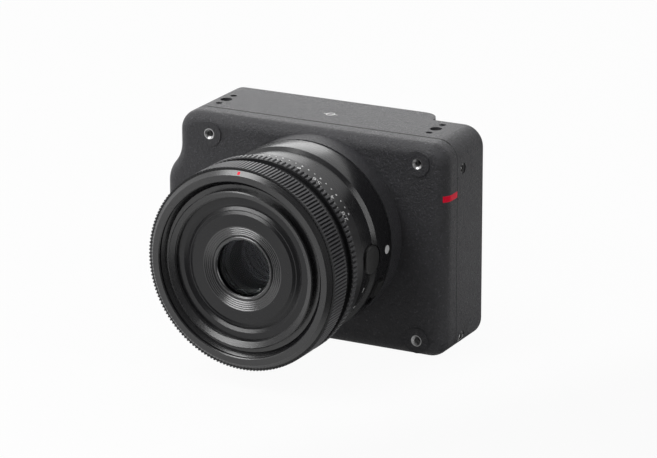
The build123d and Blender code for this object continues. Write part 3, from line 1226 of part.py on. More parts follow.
# Focus hold button: sprung disc in the barrel's side, kept in by its flange
with BuildPart() as focus_hold_button:
    with BuildSketch(Plane.YZ.offset(HOLD_FLANGE_FACE)):
        with Locations((FLANGE_Y - hold_ahead, hold_height)):
            Circle(HOLD_RADIUS)
    extrude(amount=HOLD_FACE - HOLD_FLANGE_FACE)
    fillet(focus_hold_button.faces().sort_by(Axis.X)[-1].edges(), radius=HOLD_GAP * 2)
    with BuildSketch(Plane.YZ.offset(HOLD_FLANGE_FACE)):
        with Locations((FLANGE_Y - hold_ahead, hold_height)):
            Circle(HOLD_RADIUS + HOLD_FLANGE_LIP)
    extrude(amount=-HOLD_FLANGE)
finish("focus_hold_button", focus_hold_button)

# Slide switches of the lens: curved knobs with a thumb ridge and a stem in the barrel's slot
switches = {"focus_switch": (FOCUS_SWITCH_ANGLE, 1), "click_switch": (CLICK_SWITCH_ANGLE, -1)}
for switch_name, (centre, side) in switches.items():
    rest = centre + side * SWITCH_TRAVEL / 2
    with BuildPart() as switch:
        with BuildSketch(lens_section(rest - SWITCH_KNOB_ANGLE / 2)):
            band(BARREL_RADIUS - SWITCH_SINK + SEAT_GAP, SWITCH_KNOB_TOP, SWITCH_BACK + SWITCH_GAP,
                 SWITCH_BACK + SWITCH_WIDTH - SWITCH_GAP)
        revolve(axis=LENS_AXIS, revolution_arc=SWITCH_KNOB_ANGLE)
        chamfer(switch.edges().filter_by(GeomType.LINE).group_by(Axis.Y)[0], length=SWITCH_GAP)
        with BuildSketch(lens_section(rest - SWITCH_STEM_ANGLE / 2)):
            band(BARREL_BORE + SEAT_GAP, BARREL_RADIUS, SWITCH_BACK + (SWITCH_WIDTH - SWITCH_STEM) / 2,
                 SWITCH_BACK + (SWITCH_WIDTH + SWITCH_STEM) / 2)
        revolve(axis=LENS_AXIS, revolution_arc=SWITCH_STEM_ANGLE)
    finish(switch_name, switch)
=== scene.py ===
import json
import math

import bmesh
import bpy
from mathutils import Matrix, Vector


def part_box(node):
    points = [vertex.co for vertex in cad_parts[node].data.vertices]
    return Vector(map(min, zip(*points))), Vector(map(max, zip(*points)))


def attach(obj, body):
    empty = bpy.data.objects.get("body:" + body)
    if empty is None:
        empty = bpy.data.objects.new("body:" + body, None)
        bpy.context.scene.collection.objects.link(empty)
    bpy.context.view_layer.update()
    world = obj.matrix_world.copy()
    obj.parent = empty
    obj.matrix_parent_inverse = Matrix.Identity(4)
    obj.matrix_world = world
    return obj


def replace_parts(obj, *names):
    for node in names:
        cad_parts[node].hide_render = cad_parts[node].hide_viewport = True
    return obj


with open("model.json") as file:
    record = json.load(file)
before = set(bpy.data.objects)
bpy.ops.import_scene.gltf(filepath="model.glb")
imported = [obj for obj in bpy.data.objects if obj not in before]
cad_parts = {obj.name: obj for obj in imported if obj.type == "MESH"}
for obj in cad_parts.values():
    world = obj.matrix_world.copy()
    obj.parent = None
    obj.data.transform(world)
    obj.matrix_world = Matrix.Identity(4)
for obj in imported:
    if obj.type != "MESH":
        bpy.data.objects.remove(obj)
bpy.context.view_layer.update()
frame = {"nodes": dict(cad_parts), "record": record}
MM = 0.001


# Painted shell: front cover, main housing and rear cover are light-metal castings, sprayed with a fine
# wrinkle paint that glints in grains where it is seen flat on; its flakes also carry painted glints, as
# lighter specks in its colour. The cover meets the housing in a thin seam, painted as a near-black line with
# the gap's shade in it, wider on the top than on the walls.
def forward(operation):
    """Operator that puts the value first."""
    return lambda value, *others: value.finish.maths(operation, value, *others)


def reflected(operation):
    """Operator that puts the value last."""
    return lambda value, other: value.finish.maths(operation, other, value)


class Value:
    """A number that a shader works out; Python's operators on it add Math nodes."""

    def __init__(self, finish, socket):
        self.finish, self.socket = finish, socket

    __add__ = forward("ADD")
    __radd__ = reflected("ADD")
    __sub__ = forward("SUBTRACT")
    __rsub__ = reflected("SUBTRACT")
    __mul__ = forward("MULTIPLY")
    __rmul__ = reflected("MULTIPLY")
    __truediv__ = forward("DIVIDE")
    __mod__ = forward("FLOORED_MODULO")
    __pow__ = forward("POWER")
    __gt__ = forward("GREATER_THAN")
    __lt__ = forward("LESS_THAN")
    __abs__ = forward("ABSOLUTE")


def node_in(tree, kind, settings={}, sockets={}):
    """Adds a node to a tree: its settings first, then the values or links of its sockets."""
    node = tree.nodes.new(kind)
    for key, setting in settings.items():
        setattr(node, key, setting)
    for key, value in sockets.items():
        if isinstance(value, Value):
            value = value.socket
        if isinstance(value, bpy.types.NodeSocket):
            tree.links.new(value, node.inputs[key])
        else:
            node.inputs[key].default_value = value
    return node


class Finish:
    """A finish of the camera: one material with its shader, and the place on the piece in millimetres."""

    def __init__(self, name, **shader):
        self.material = bpy.data.materials.new(name)
        self.material.use_nodes = True
        self.tree = self.material.node_tree
        self.shader = self.tree.nodes["Principled BSDF"]
        for socket, value in shader.items():
            self.shader.inputs[socket.replace("_", " ")].default_value = value
        self.place = self.add("TexCoord").outputs["Object"]
        split = self.add("SeparateXYZ", {}, {0: self.place})
        self.x, self.y, self.z = (Value(self, split.outputs[i]) / MM for i in range(3))

    def add(self, kind, settings={}, sockets={}):
        """Adds a shader node of this kind."""
        return node_in(self.tree, "ShaderNode" + kind, settings, sockets)

    def maths(self, operation, *values):
        """Works out a number with a Math node."""
        return Value(self, self.add("Math", {"operation": operation}, dict(enumerate(values))).outputs[0])

    def noise(self, per_mm, detail=2.0, roughness=0.5, stretch=None):
        """Even noise, from 0 to 1, with this many grains to the millimetre."""
        place = self.place
        if stretch:
            place = self.add("Mapping", {}, {"Vector": self.place, "Scale": stretch}).outputs[0]
        sockets = {"Vector": place, "Scale": per_mm / MM, "Detail": detail, "Roughness": roughness}
        return Value(self, self.add("TexNoise", {}, sockets).outputs["Fac"])

    def blend(self, mask, first, second):
        """First colour where the mask is 0, second where it is 1."""
        factor_input, first_input, second_input = 0, 6, 7
        sockets = {factor_input: mask, first_input: first, second_input: second}
        return Value(self, self.add("Mix", {"data_type": "RGBA"}, sockets).outputs[2])

    def wear(self, **sockets):
        """Links what changes over the surface to the shader."""
        for name, value in sockets.items():
            self.tree.links.new(value.socket, self.shader.inputs[name.replace("_", " ")])

    def relief(self, height, depth, strength=1.0):
        """Bumps the surface by this height, which is 1 at this depth in millimetres."""
        sockets = {"Height": height, "Distance": depth * MM, "Strength": strength}
        self.tree.links.new(self.add("Bump", {}, sockets).outputs[0], self.shader.inputs["Normal"])


def grey(level, tint=(1.0, 1.0, 1.0)):
    """A colour of this level, with this tint."""
    return (level * tint[0], level * tint[1], level * tint[2], 1.0)


def placed(name, shape, finish, body="camera", angle=32.0):
    """Makes a piece of this shape that rides on a body, smooth but for edges sharper than the angle."""
    for face in shape.faces:
        face.smooth = True
        face.material_index = 0
    for edge in shape.edges:
        edge.smooth = len(edge.link_faces) == 2 and edge.calc_face_angle(0.0) <= math.radians(angle)
    mesh = bpy.data.meshes.new(name)
    shape.to_mesh(mesh)
    shape.free()
    mesh.materials.append(finish.material)
    piece = bpy.data.objects.new(name, mesh)
    bpy.context.scene.collection.objects.link(piece)
    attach(piece, body)
    return piece


def smoothed(node, finish, body="camera", angle=32.0):
    """Puts a copy of a CAD piece, with its facets joined and shaded smooth, in place of the piece."""
    shape = bmesh.new()
    shape.from_mesh(frame["nodes"][node].data)
    facet_gap = 0.0005
    bmesh.ops.remove_doubles(shape, verts=shape.verts, dist=facet_gap * MM)
    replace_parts(placed(node + "_smooth", shape, finish, body, angle), node)


SEAM_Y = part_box("main_housing")[0].y / MM
TOP_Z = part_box("main_housing")[1].z / MM
SEAM_SHADE_WIDTH = 0.8
SEAM_SHADE_SHARE_ON_WALLS = 0.4
TOP_EDGE = 1.5
COOL = (0.98, 0.97, 1.08)
paint = Finish("wrinkle_paint", IOR=1.5)
grain = paint.noise(1.3, 4.0, 0.7)
mottle = paint.noise(0.7, 3.0, 0.65, stretch=(1.0, 0.6, 1.0))
glint_flakes = paint.noise(1.5, 1.0) > 0.66
blotch = paint.noise(0.12, 2.0)
# The seam is a dark joint with the gap's shade painted in: a near-black line, wider on the top than on the
# walls.
on_top = paint.z > TOP_Z - TOP_EDGE
seam_shade_share = SEAM_SHADE_SHARE_ON_WALLS + (1.0 - SEAM_SHADE_SHARE_ON_WALLS) * on_top
seam_shade = abs(paint.y - SEAM_Y) < SEAM_SHADE_WIDTH / 2 * seam_shade_share
speckle = grain * 0.35 + mottle * 0.5 + blotch * 0.15
paint_colour = paint.blend(speckle, grey(0.008, COOL), grey(0.066, COOL))
# The flakes are painted lighter: a painted glint in the paint's colour, beside their smoother, raised
# surface.
paint_colour = paint.blend(0.8 * glint_flakes, paint_colour, grey(0.08, COOL))
paint.wear(Base_Color=paint.blend(seam_shade, paint_colour, grey(0.002)),
           Roughness=0.38 + 0.2 * paint.noise(1.6, 2.0) - 0.2 * glint_flakes + 0.3 * seam_shade)
paint.relief(0.9 * grain + 0.6 * mottle + 0.5 * glint_flakes, 0.5, 0.9)
for node in ("front_cover", "main_housing", "rear_cover"):
    smoothed(node, paint)


# Accent stripe: a thin inlay with a satin red lacquer. It wraps the right front edge of the body and ends
# at the seam.
red = Finish("red_lacquer", IOR=1.25)
red_tone = red.blend(red.noise(1.5, 2.0), grey(1.0, (0.86, 0.003, 0.03)), grey(1.0, (1.0, 0.008, 0.05)))
red.wear(Base_Color=red_tone, Roughness=0.34 + 0.1 * red.noise(0.8))
red.relief(red.noise(3.0), 0.01, 0.5)
smoothed("accent_stripe", red)


# Thread bushes: turned steel inserts, pressed into the front pads and the right wall or set in the top,
# and the tripod bush under the lens. The ridges of their threads are made here and start just inside each
# mouth.
steel = Finish("turned_steel", Metallic=1.0)
lathe_marks = steel.noise(6.0, 2.0, stretch=(1.0, 0.15, 1.0))
steel.wear(Base_Color=steel.blend(lathe_marks, grey(0.45), grey(0.7)), Roughness=0.26 + 0.2 * lathe_marks)
steel.relief(lathe_marks, 0.01, 0.5)
for node in ("m3_inserts", "top_inserts", "tripod_socket"):
    smoothed(node, steel)


def tree_with(name, inputs):
    """A Geometry Nodes tree with these inputs, as the tree, the outputs of its input node and its end."""
    tree = bpy.data.node_groups.new(name, "GeometryNodeTree")
    for label, kind, value in inputs:
        socket = tree.interface.new_socket(label, in_out="INPUT", socket_type="NodeSocket" + kind)
        socket.default_value = value
    tree.interface.new_socket("Geometry", in_out="OUTPUT", socket_type="NodeSocketGeometry")
    return tree, tree.nodes.new("NodeGroupInput").outputs, tree.nodes.new("NodeGroupOutput")


def end_tree(tree, given, geometry, end):
    """Ends a tree: instances become real geometry, which gets the material of the tree's input."""
    real = node_in(tree, "GeometryNodeRealizeInstances", {}, {"Geometry": geometry.outputs[0]})
    coated = node_in(tree, "GeometryNodeSetMaterial", {}, {
        "Geometry": real.outputs[0], "Material": given["Material"]})
    tree.links.new(coated.outputs[0], end.inputs[0])


def grown(tree, values={}, place=Matrix()):
    """Runs a tree with these input values and gives its result as a plain mesh at this place."""
    holder = bpy.data.objects.new(tree.name, bpy.data.meshes.new(tree.name))
    bpy.context.scene.collection.objects.link(holder)
    modifier = holder.modifiers.new("grow", "NODES")
    modifier.node_group = tree
    for item in tree.interface.items_tree:
        if item.in_out == "INPUT" and item.name in values:
            modifier[item.identifier] = values[item.name]
    evaluated = holder.evaluated_get(bpy.context.evaluated_depsgraph_get())
    mesh = bpy.data.meshes.new_from_object(evaluated)
    holder.modifiers.remove(modifier)
    bpy.data.objects.remove(holder)
    mesh.transform(place)
    return mesh


thread_tree, given, end = tree_with("screw_thread", [
    ("Radius", "Float", 1.25 * MM), ("Pitch", "Float", 0.5 * MM), ("Turns", "Float", 8.0),
    ("Depth", "Float", 0.2 * MM), ("Resolution", "Int", 24), ("Material", "Material", steel.material)])
length = node_in(thread_tree, "ShaderNodeMath", {"operation": "MULTIPLY"},
                 {0: given["Pitch"], 1: given["Turns"]})
helix = node_in(thread_tree, "GeometryNodeCurveSpiral", {}, {
    "Resolution": given["Resolution"], "Rotations": given["Turns"], "Start Radius": given["Radius"],
    "End Radius": given["Radius"], "Height": length.outputs[0]})
crest = node_in(thread_tree, "GeometryNodeCurvePrimitiveCircle", {"mode": "RADIUS"},
                {"Resolution": 4, "Radius": given["Depth"]})
ridge = node_in(thread_tree, "GeometryNodeCurveToMesh", {}, {
    "Curve": helix.outputs[0], "Profile Curve": crest.outputs[0], "Fill Caps": True})
end_tree(thread_tree, given, ridge, end)


def threads(name, finish, holes, pitch, turns, radius, depth=0.14, resolution=24):
    """Ridges of a thread in holes, each given by its mouth in millimetres and the way into it."""
    ridges = bmesh.new()
    sizes = {"Pitch": pitch * MM, "Turns": turns, "Radius": radius * MM, "Depth": depth * MM,
             "Resolution": resolution}
    for mouth, inward in holes:
        turn = inward.to_track_quat("Z", "Y").to_matrix().to_4x4()
        ridges.from_mesh(grown(thread_tree, sizes, Matrix.Translation(mouth * MM) @ turn))
    bmesh.ops.recalc_face_normals(ridges, faces=ridges.faces)
    placed(name, ridges, finish)


mounts = {mount["name"]: mount for mount in frame["record"]["mounts"]}


def hole_of(mount_name, sink, across=0.0, along=0.0):
    """Where the thread of a mount's hole starts, sunk this far under its face, and the way into the hole."""
    mount = mounts[mount_name]
    inward = -Vector(mount["axis"])
    return Vector(mount["pos_m"]) / MM + Vector((across, 0.0, along)) + inward * sink, inward


spacing = mounts["front_threads"]["dims"]
half_across, half_along = spacing["spacing_x_mm"] / 2, spacing["spacing_y_mm"] / 2
front_holes = [hole_of("front_threads", sink=0.5, across=side * half_across, along=level * half_along)
               for side in (-1, 1) for level in (-1, 1)]
side_holes = [hole_of(name, sink=0.7) for name in ("side_thread_upper", "side_thread_lower")]
top_holes = [hole_of(name, sink=0.2) for name in ("top_thread_left", "top_thread_right")]
threads("m3_threads", steel, front_holes + side_holes, pitch=0.5, turns=9.0, radius=1.28)
threads("m4_threads", steel, top_holes, pitch=0.7, turns=5.5, radius=1.68)
threads("tripod_threads", steel, [hole_of("tripod_thread", sink=0.4)],
        pitch=1.27, turns=3.8, radius=2.6, depth=0.3)


# Bayonet: two rings, chromed and polished so that they slide on each other. The body's ring has three
# gates, which let in the three lugs of the lens.
chrome = Finish("bayonet_chrome", Metallic=1.0)
turning = chrome.noise(5.0, 2.0, stretch=(1.0, 0.1, 1.0))
chrome.wear(Base_Color=chrome.blend(turning, grey(0.5), grey(0.68)), Roughness=0.1 + 0.16 * turning)
chrome.relief(turning, 0.01, 0.3)
for node in ("body_mount_ring", "lens_mount"):
    smoothed(node, chrome)


# Moulded black pieces: the contact block behind the bayonet, the iris housing and its ring, the cells that
# hold the glass, and the card door. They are moulded in black plastic, with a spark-eroded matt surface.
plastic = Finish("moulded_black")
spark = plastic.noise(3.5, 3.0, 0.6)
plastic.wear(Base_Color=plastic.blend(spark, grey(0.012), grey(0.026)), Roughness=0.42 + 0.25 * spark)
plastic.relief(spark, 0.02, 0.5)
for node, body in (("contact_block", "camera"), ("front_cell", "camera"), ("focus_cell", "focus_group"),
                   ("rear_cell", "camera"), ("iris_base", "camera"), ("iris_ring", "iris_ring"),
                   ("iris_cover", "camera"), ("card_door", "card_door")):
    smoothed(node, plastic, body)


# Sensor and boards: a ceramic package with its dark die, green boards with a weave under the mask, and the
# bracket, standoffs and finned spreader of blasted aluminium that carry them. Rods and pins are turned
# steel.
lens_mount_low, lens_mount_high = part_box("lens_mount")
AXIS_Z = (lens_mount_low.z + lens_mount_high.z) / 2 / MM
DIE_WIDTH, DIE_HEIGHT = 36.0, 24.0
package = Finish("sensor_package", IOR=1.6)
die = (abs(package.x) < DIE_WIDTH / 2) * (abs(package.z - AXIS_Z) < DIE_HEIGHT / 2)
pixels = package.blend(package.noise(8.0), grey(1.0, (0.02, 0.05, 0.09)), grey(1.0, (0.05, 0.03, 0.08)))
package.wear(Base_Color=package.blend(die, grey(0.02), pixels), Roughness=0.3 - 0.2 * die)
smoothed("image_sensor", package)
board = Finish("solder_mask")
weave = board.noise(2.0, stretch=(1.0, 1.0, 0.3))
track = (board.noise(0.35, 0.0) * 12.0) % 1.0 < 0.25
mask_tone = board.blend(weave, grey(1.0, (0.008, 0.07, 0.03)), grey(1.0, (0.015, 0.12, 0.05)))
board.wear(Base_Color=board.blend(track, mask_tone, grey(1.0, (0.03, 0.2, 0.08))),
           Roughness=0.3 + 0.2 * weave)
board.relief(track + weave * 0.2, 0.03)
for node in ("sensor_board", "main_board"):
    smoothed(node, board)
blasted = Finish("blasted_aluminium", Metallic=1.0)
shot = blasted.noise(4.0, 3.0)
blasted.wear(Base_Color=blasted.blend(shot, grey(0.5), grey(0.68)), Roughness=0.35 + 0.25 * shot)
blasted.relief(shot, 0.03)
for node in ("sensor_bracket", "heat_spreader", "board_standoffs"):
    smoothed(node, blasted)
for node, body in (("guide_rods", "camera"), ("lens_lock_pin", "lens_release"), ("card_door_pin", "camera")):
    smoothed(node, steel, body)


# Card slot and sockets: tinned sheet shells. The sockets stand on the main board, each round a tongue, and
# end in the recessed strip at the back; the card slot lies on the board's edge.
tinned = Finish("tinned_shell", Metallic=1.0)
roll_marks = tinned.noise(3.0, 2.0, stretch=(1.0, 1.0, 0.2))
tinned.wear(Base_Color=tinned.blend(roll_marks, grey(0.38), grey(0.58)), Roughness=0.22 + 0.22 * roll_marks)
tinned.relief(roll_marks, 0.01, 0.4)
for node in ("card_slot", "usb_connector", "hdmi_connector", "io_connector", "power_connector"):
    smoothed(node, tinned)


# Rear cover screws: four blackened steel screws with a flat round head and a cross recess. They lie flush
# in the corners of the rear cover and go into bosses of the housing.
blackened = Finish("black_oxide", Metallic=1.0)
oxide = blackened.noise(3.0, 2.0)
blackened.wear(Base_Color=blackened.blend(oxide, grey(0.025), grey(0.06)), Roughness=0.3 + 0.2 * oxide)
blackened.relief(oxide, 0.01, 0.5)
HEAD_RADIUS, HEAD_HEIGHT = 1.9, 0.9
screws_low, screws_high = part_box("rear_cover_screws")
screws_size = screws_high - screws_low
head_middle_y = screws_high.y - HEAD_HEIGHT / 2 * MM
screw_tree, given, end = tree_with("recessed_screws", [
    ("Head Radius", "Float", HEAD_RADIUS * MM), ("Head Height", "Float", HEAD_HEIGHT * MM),
    ("Shank Radius", "Float", 1.0 * MM), ("Shank Length", "Float", head_middle_y - screws_low.y),
    ("Recess Length", "Float", 2.2 * MM), ("Recess Width", "Float", 0.45 * MM),
    ("Spacing Across", "Float", screws_size.x - 2 * HEAD_RADIUS * MM),
    ("Spacing Up", "Float", screws_size.z - 2 * HEAD_RADIUS * MM),
    ("Material", "Material", blackened.material)])


def shifted(part, length, share):
    """Moves a part of the screw along its axis by this share of a length."""
    rise = node_in(screw_tree, "ShaderNodeMath", {"operation": "MULTIPLY"}, {0: length, 1: share})
    way = node_in(screw_tree, "ShaderNodeCombineXYZ", {}, {"Z": rise.outputs[0]})
    return node_in(screw_tree, "GeometryNodeTransform", {}, {
        "Geometry": part.outputs[0], "Translation": way.outputs[0]})


head = node_in(screw_tree, "GeometryNodeMeshCylinder", {}, {
    "Vertices": 48, "Radius": given["Head Radius"], "Depth": given["Head Height"]})
crossed = node_in(screw_tree, "GeometryNodeMeshBoolean", {"operation": "DIFFERENCE"},
                  {"Mesh 1": head.outputs[0]})
for long_side, short_side in (("X", "Y"), ("Y", "X")):
    arm_size = node_in(screw_tree, "ShaderNodeCombineXYZ", {}, {
        long_side: given["Recess Length"], short_side: given["Recess Width"], "Z": given["Head Height"]})
    arm = node_in(screw_tree, "GeometryNodeMeshCube", {}, {"Size": arm_size.outputs[0]})
    arm_above = shifted(arm, given["Head Height"], 0.5)
    screw_tree.links.new(arm_above.outputs[0], crossed.inputs["Mesh 2"])
shank = node_in(screw_tree, "GeometryNodeMeshCylinder", {}, {
    "Vertices": 24, "Radius": given["Shank Radius"], "Depth": given["Shank Length"]})
shank_below = shifted(shank, given["Shank Length"], -0.5)
screw = node_in(screw_tree, "GeometryNodeJoinGeometry", {}, {"Geometry": crossed.outputs[0]})
screw_tree.links.new(shank_below.outputs[0], screw.inputs["Geometry"])
corners = node_in(screw_tree, "GeometryNodeMeshGrid", {}, {
    "Size X": given["Spacing Across"], "Size Y": given["Spacing Up"], "Vertices X": 2, "Vertices Y": 2})
four_screws = node_in(screw_tree, "GeometryNodeInstanceOnPoints", {}, {
    "Points": corners.outputs[0], "Instance": screw.outputs[0]})
end_tree(screw_tree, given, four_screws, end)
outward = Vector((0.0, 1.0, 0.0)).to_track_quat("Z", "Y").to_matrix().to_4x4()
middle_of_four = Vector(((screws_low.x + screws_high.x) / 2, head_middle_y,
                         (screws_low.z + screws_high.z) / 2))
screws = bmesh.new()
screws.from_mesh(grown(screw_tree, place=Matrix.Translation(middle_of_four) @ outward))
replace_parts(placed("cross_recessed_screws", screws, blackened), "rear_cover_screws")


# Controls: moulded caps of the rear buttons, the direction pad, the lens's button and switches and the
# release button, satin where the thumb rubs them. The status light is pale and translucent.
cap = Finish("button_caps")
cap.wear(Base_Color=cap.blend(cap.noise(3.0), grey(0.014), grey(0.028)),
         Roughness=0.34 + 0.2 * cap.noise(0.6, 2.0))
cap.relief(cap.noise(4.0), 0.01, 0.5)
for node in ("direction_pad", "enter_button", "menu_button", "power_button", "focus_hold_button",
             "focus_switch", "click_switch"):
    smoothed(node, cap, node)
smoothed("release_button", cap, "lens_release")
light = Finish("light_guide", Roughness=0.25)
light_tone = light.blend(light.noise(4.0), grey(1.0, (0.35, 0.6, 0.38)), grey(1.0, (0.5, 0.75, 0.52)))
light.wear(Base_Color=light_tone)
smoothed("status_light", light)


# Lens barrel: turned aluminium, anodised satin black, with fine lathe marks under the coat. The outer
# shell goes from the mount to the aperture ring; the inner barrel carries both rings and the optical
# groups.
anodised = Finish("satin_anodised", IOR=1.45)
lathe = anodised.noise(1.4, 3.0, 0.5, stretch=(0.25, 4.0, 0.25))
anodised.wear(Base_Color=anodised.blend(lathe, grey(0.007, COOL), grey(0.014, COOL)),
              Roughness=0.2 + 0.12 * lathe)
anodised.relief(lathe, 0.006, 0.6)
for node in ("lens_barrel", "inner_barrel"):
    smoothed(node, anodised, angle=25.0)


# Front ring: turned in one piece and anodised, with a wide bevel round a flat rim, a deep groove inside
# the rim, and a dished lip on the tube that has the filter thread.
FLANGE_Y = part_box("body_mount_ring")[0].y / MM
rim_metal = Finish("rim_anodised", IOR=1.8)
skim = rim_metal.noise(1.4, 3.0, 0.5, stretch=(0.25, 4.0, 0.25))
rim_metal.wear(Base_Color=rim_metal.blend(skim, grey(0.007, COOL), grey(0.013, COOL)),
               Roughness=0.2 + 0.12 * skim)
rim_metal.relief(skim, 0.006, 0.6)


def lathe_turned(profile, segments=192):
    """Closed ring round the lens axis: its profile is radius and distance ahead of the bayonet, in mm."""
    shape = bmesh.new()
    rings = []
    for i in range(segments):
        turn = math.tau * i / segments
        rings.append([shape.verts.new((radius * math.cos(turn) * MM, (FLANGE_Y - ahead) * MM,
                                       (AXIS_Z + radius * math.sin(turn)) * MM))
                      for radius, ahead in profile])
    for here, beside in zip(rings, rings[1:] + rings[:1]):
        for j in range(len(profile)):
            shape.faces.new((here[j - 1], here[j], beside[j], beside[j - 1]))
    bmesh.ops.recalc_face_normals(shape, faces=shape.faces)
    return shape


sleeve_back = FLANGE_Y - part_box("front_ring")[1].y / MM
sleeve = [(22.5, sleeve_back), (29.0, sleeve_back)]
rim = [(29.0, 44.0), (33.4, 44.0), (33.4, 44.6), (32.0, 46.0), (29.95, 46.0), (29.65, 45.7)]
groove = [(29.65, 44.7), (28.2, 43.3), (26.5, 43.3)]
lip = [(26.5, 45.3), (26.15, 45.6), (24.5, 44.75)]
thread_bore = [(24.5, 43.8), (24.1, 43.8), (24.1, 41.6), (22.5, 41.6)]
front_ring = lathe_turned(sleeve + rim + groove + lip + thread_bore)
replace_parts(placed("turned_front_ring", front_ring, rim_metal, angle=15.0), "front_ring")
filter_radius = mounts["filter_thread"]["dims"]["r_mm"]
threads("filter_threads", rim_metal, [hole_of("filter_thread", sink=0.35)],
        pitch=0.75, turns=1.2, radius=filter_radius + 0.05, depth=0.2, resolution=128)


# Ribbed rings: aperture ring and focus ring, milled from aluminium and anodised like the barrel. The tips of
# their ribs are painted a softer grey, a painted highlight along their edges. Both turn on the inner barrel.
ribbed = Finish("ribbed_anodised", IOR=1.5)


def lens_radius(finish):
    """Distance from the lens axis, in millimetres."""
    rise = finish.z - AXIS_Z
    return (finish.x * finish.x + rise * rise) ** 0.5


TIP_RADIUS = (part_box("focus_ring")[1].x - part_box("focus_ring")[0].x) / 2 / MM
TIP_DEPTH = 0.12
# The rib tips get a painted highlight: a lighter grey in patches, where the edges would catch the light.
tip_highlight = (lens_radius(ribbed) > TIP_RADIUS - TIP_DEPTH) * 1.0
sheen_patches = ribbed.noise(0.5, 2.0)
ribbed.wear(Base_Color=ribbed.blend(tip_highlight * sheen_patches, grey(0.012, COOL), grey(0.07, COOL)),
            Roughness=0.3 + 0.14 * sheen_patches)
ribbed.relief(ribbed.noise(4.0, 2.0), 0.01, 0.4)
for node in ("aperture_ring", "focus_ring"):
    smoothed(node, ribbed, node, 25.0)


# Rib ends: the front ends of the focus ring's ribs and of the band between them. They reach forward over
# the back of the front ring, so that they show round its rim, and turn with the focus ring.
RIB_COUNT, RIB_RADIUS, RIB_MIDDLE = 172, 33.89, 43.75
BAND_INSIDE, BAND_OUTSIDE, BAND_BACK, BAND_FRONT = 33.5, 34.0, 43.3, 44.3
rib_tree, given, end = tree_with("milled_ribs", [
    ("Count", "Int", RIB_COUNT), ("Radius", "Float", RIB_RADIUS * MM),
    ("Rib Depth", "Float", 0.8 * MM), ("Rib Width", "Float", 0.56 * MM),
    ("Rib Length", "Float", 1.4 * MM), ("Material", "Material", ribbed.material)])
circle = node_in(rib_tree, "GeometryNodeMeshCircle", {}, {
    "Vertices": given["Count"], "Radius": given["Radius"]})
rib_size = node_in(rib_tree, "ShaderNodeCombineXYZ", {}, {
    "X": given["Rib Depth"], "Y": given["Rib Width"], "Z": given["Rib Length"]})
rib = node_in(rib_tree, "GeometryNodeMeshCube", {}, {"Size": rib_size.outputs[0]})
spot = node_in(rib_tree, "GeometryNodeInputPosition")
facing_out = node_in(rib_tree, "FunctionNodeAlignRotationToVector", {"axis": "X"},
                     {"Vector": spot.outputs[0]})
all_ribs = node_in(rib_tree, "GeometryNodeInstanceOnPoints", {}, {
    "Points": circle.outputs[0], "Instance": rib.outputs[0], "Rotation": facing_out.outputs[0]})
end_tree(rib_tree, given, all_ribs, end)
rib_ends = lathe_turned([(BAND_INSIDE, BAND_BACK), (BAND_OUTSIDE, BAND_BACK), (BAND_OUTSIDE, BAND_FRONT),
                         (BAND_INSIDE, BAND_FRONT)])
half_pitch = math.pi / RIB_COUNT
rib_ends.from_mesh(grown(rib_tree, place=Matrix.Translation(Vector((0.0, FLANGE_Y - RIB_MIDDLE, AXIS_Z)) * MM)
                         @ Matrix.Rotation(math.pi / 2, 4, "X") @ Matrix.Rotation(half_pitch, 4, "Z")))
placed("focus_rib_ends", rib_ends, ribbed, "focus_ring", 25.0)


# Name ring: a black plate behind the filter thread, turned with a flat ridge that is left bare and, inside
# it, with sharp grooves that fan the light. Its inner end is a rounded lip round the glass.
RIDGE_FRONT = 43.7
GROOVED_RADIUS = 14.3
GROOVES, GROOVE_PITCH, GROOVE_LAND = 5, 0.68, 0.12
GROOVE_SLOPE = math.tan(math.radians(29.0))
DISH_FALL = 0.075
FLANK_WIDTH = (GROOVE_PITCH - GROOVE_LAND) / 2 + DISH_FALL / GROOVE_SLOPE / 2
turned = Finish("turned_plate", IOR=1.5, Coat_IOR=1.65, Coat_Roughness=0.26)
turned.wear(Coat_Weight=(lens_radius(turned) < GROOVED_RADIUS + 0.05) * 1.0,
            Base_Color=turned.blend(turned.noise(2.0), grey(0.009, COOL), grey(0.016, COOL)),
            Roughness=0.2 + 0.1 * turned.noise(1.0, 2.0))
turned.relief(turned.noise(5.0, 2.0, stretch=(0.3, 4.0, 0.3)), 0.006, 0.5)
plate = [(9.6, 42.4), (13.9, 42.4), (13.9, 41.6), (24.05, 41.6), (24.05, 43.3)]
valley = [(21.8, 43.3), (20.7, 42.7), (19.7, 43.25), (19.4, 43.2), (18.4, RIDGE_FRONT)]
fan = []
for number in range(GROOVES):
    radius, ahead = GROOVED_RADIUS - number * GROOVE_PITCH, RIDGE_FRONT - number * DISH_FALL
    fan += [(radius, ahead), (radius - GROOVE_LAND, ahead),
            (radius - GROOVE_LAND - FLANK_WIDTH, ahead - FLANK_WIDTH * GROOVE_SLOPE)]
glass_lip = [(10.9, 43.0), (10.75, 43.3), (10.45, 43.45), (10.1, 43.4), (9.8, 43.2), (9.6, 42.9)]
name_ring = lathe_turned(plate + valley + fan + glass_lip)
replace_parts(placed("turned_name_ring", name_ring, turned, angle=15.0), "name_ring")


# Printed marks: pad-printed white ink. The aperture ring's land has a scale of f-numbers with its third
# stops, the barrel has index marks for mounting and for the switches, the top the sensor plane and the pad
# its arrows.
INK = 0.02
ink = Finish("white_ink")
ink.wear(Base_Color=ink.blend(ink.noise(2.0), grey(0.60), grey(0.78)), Roughness=0.45 + 0.15 * ink.noise(4.0))


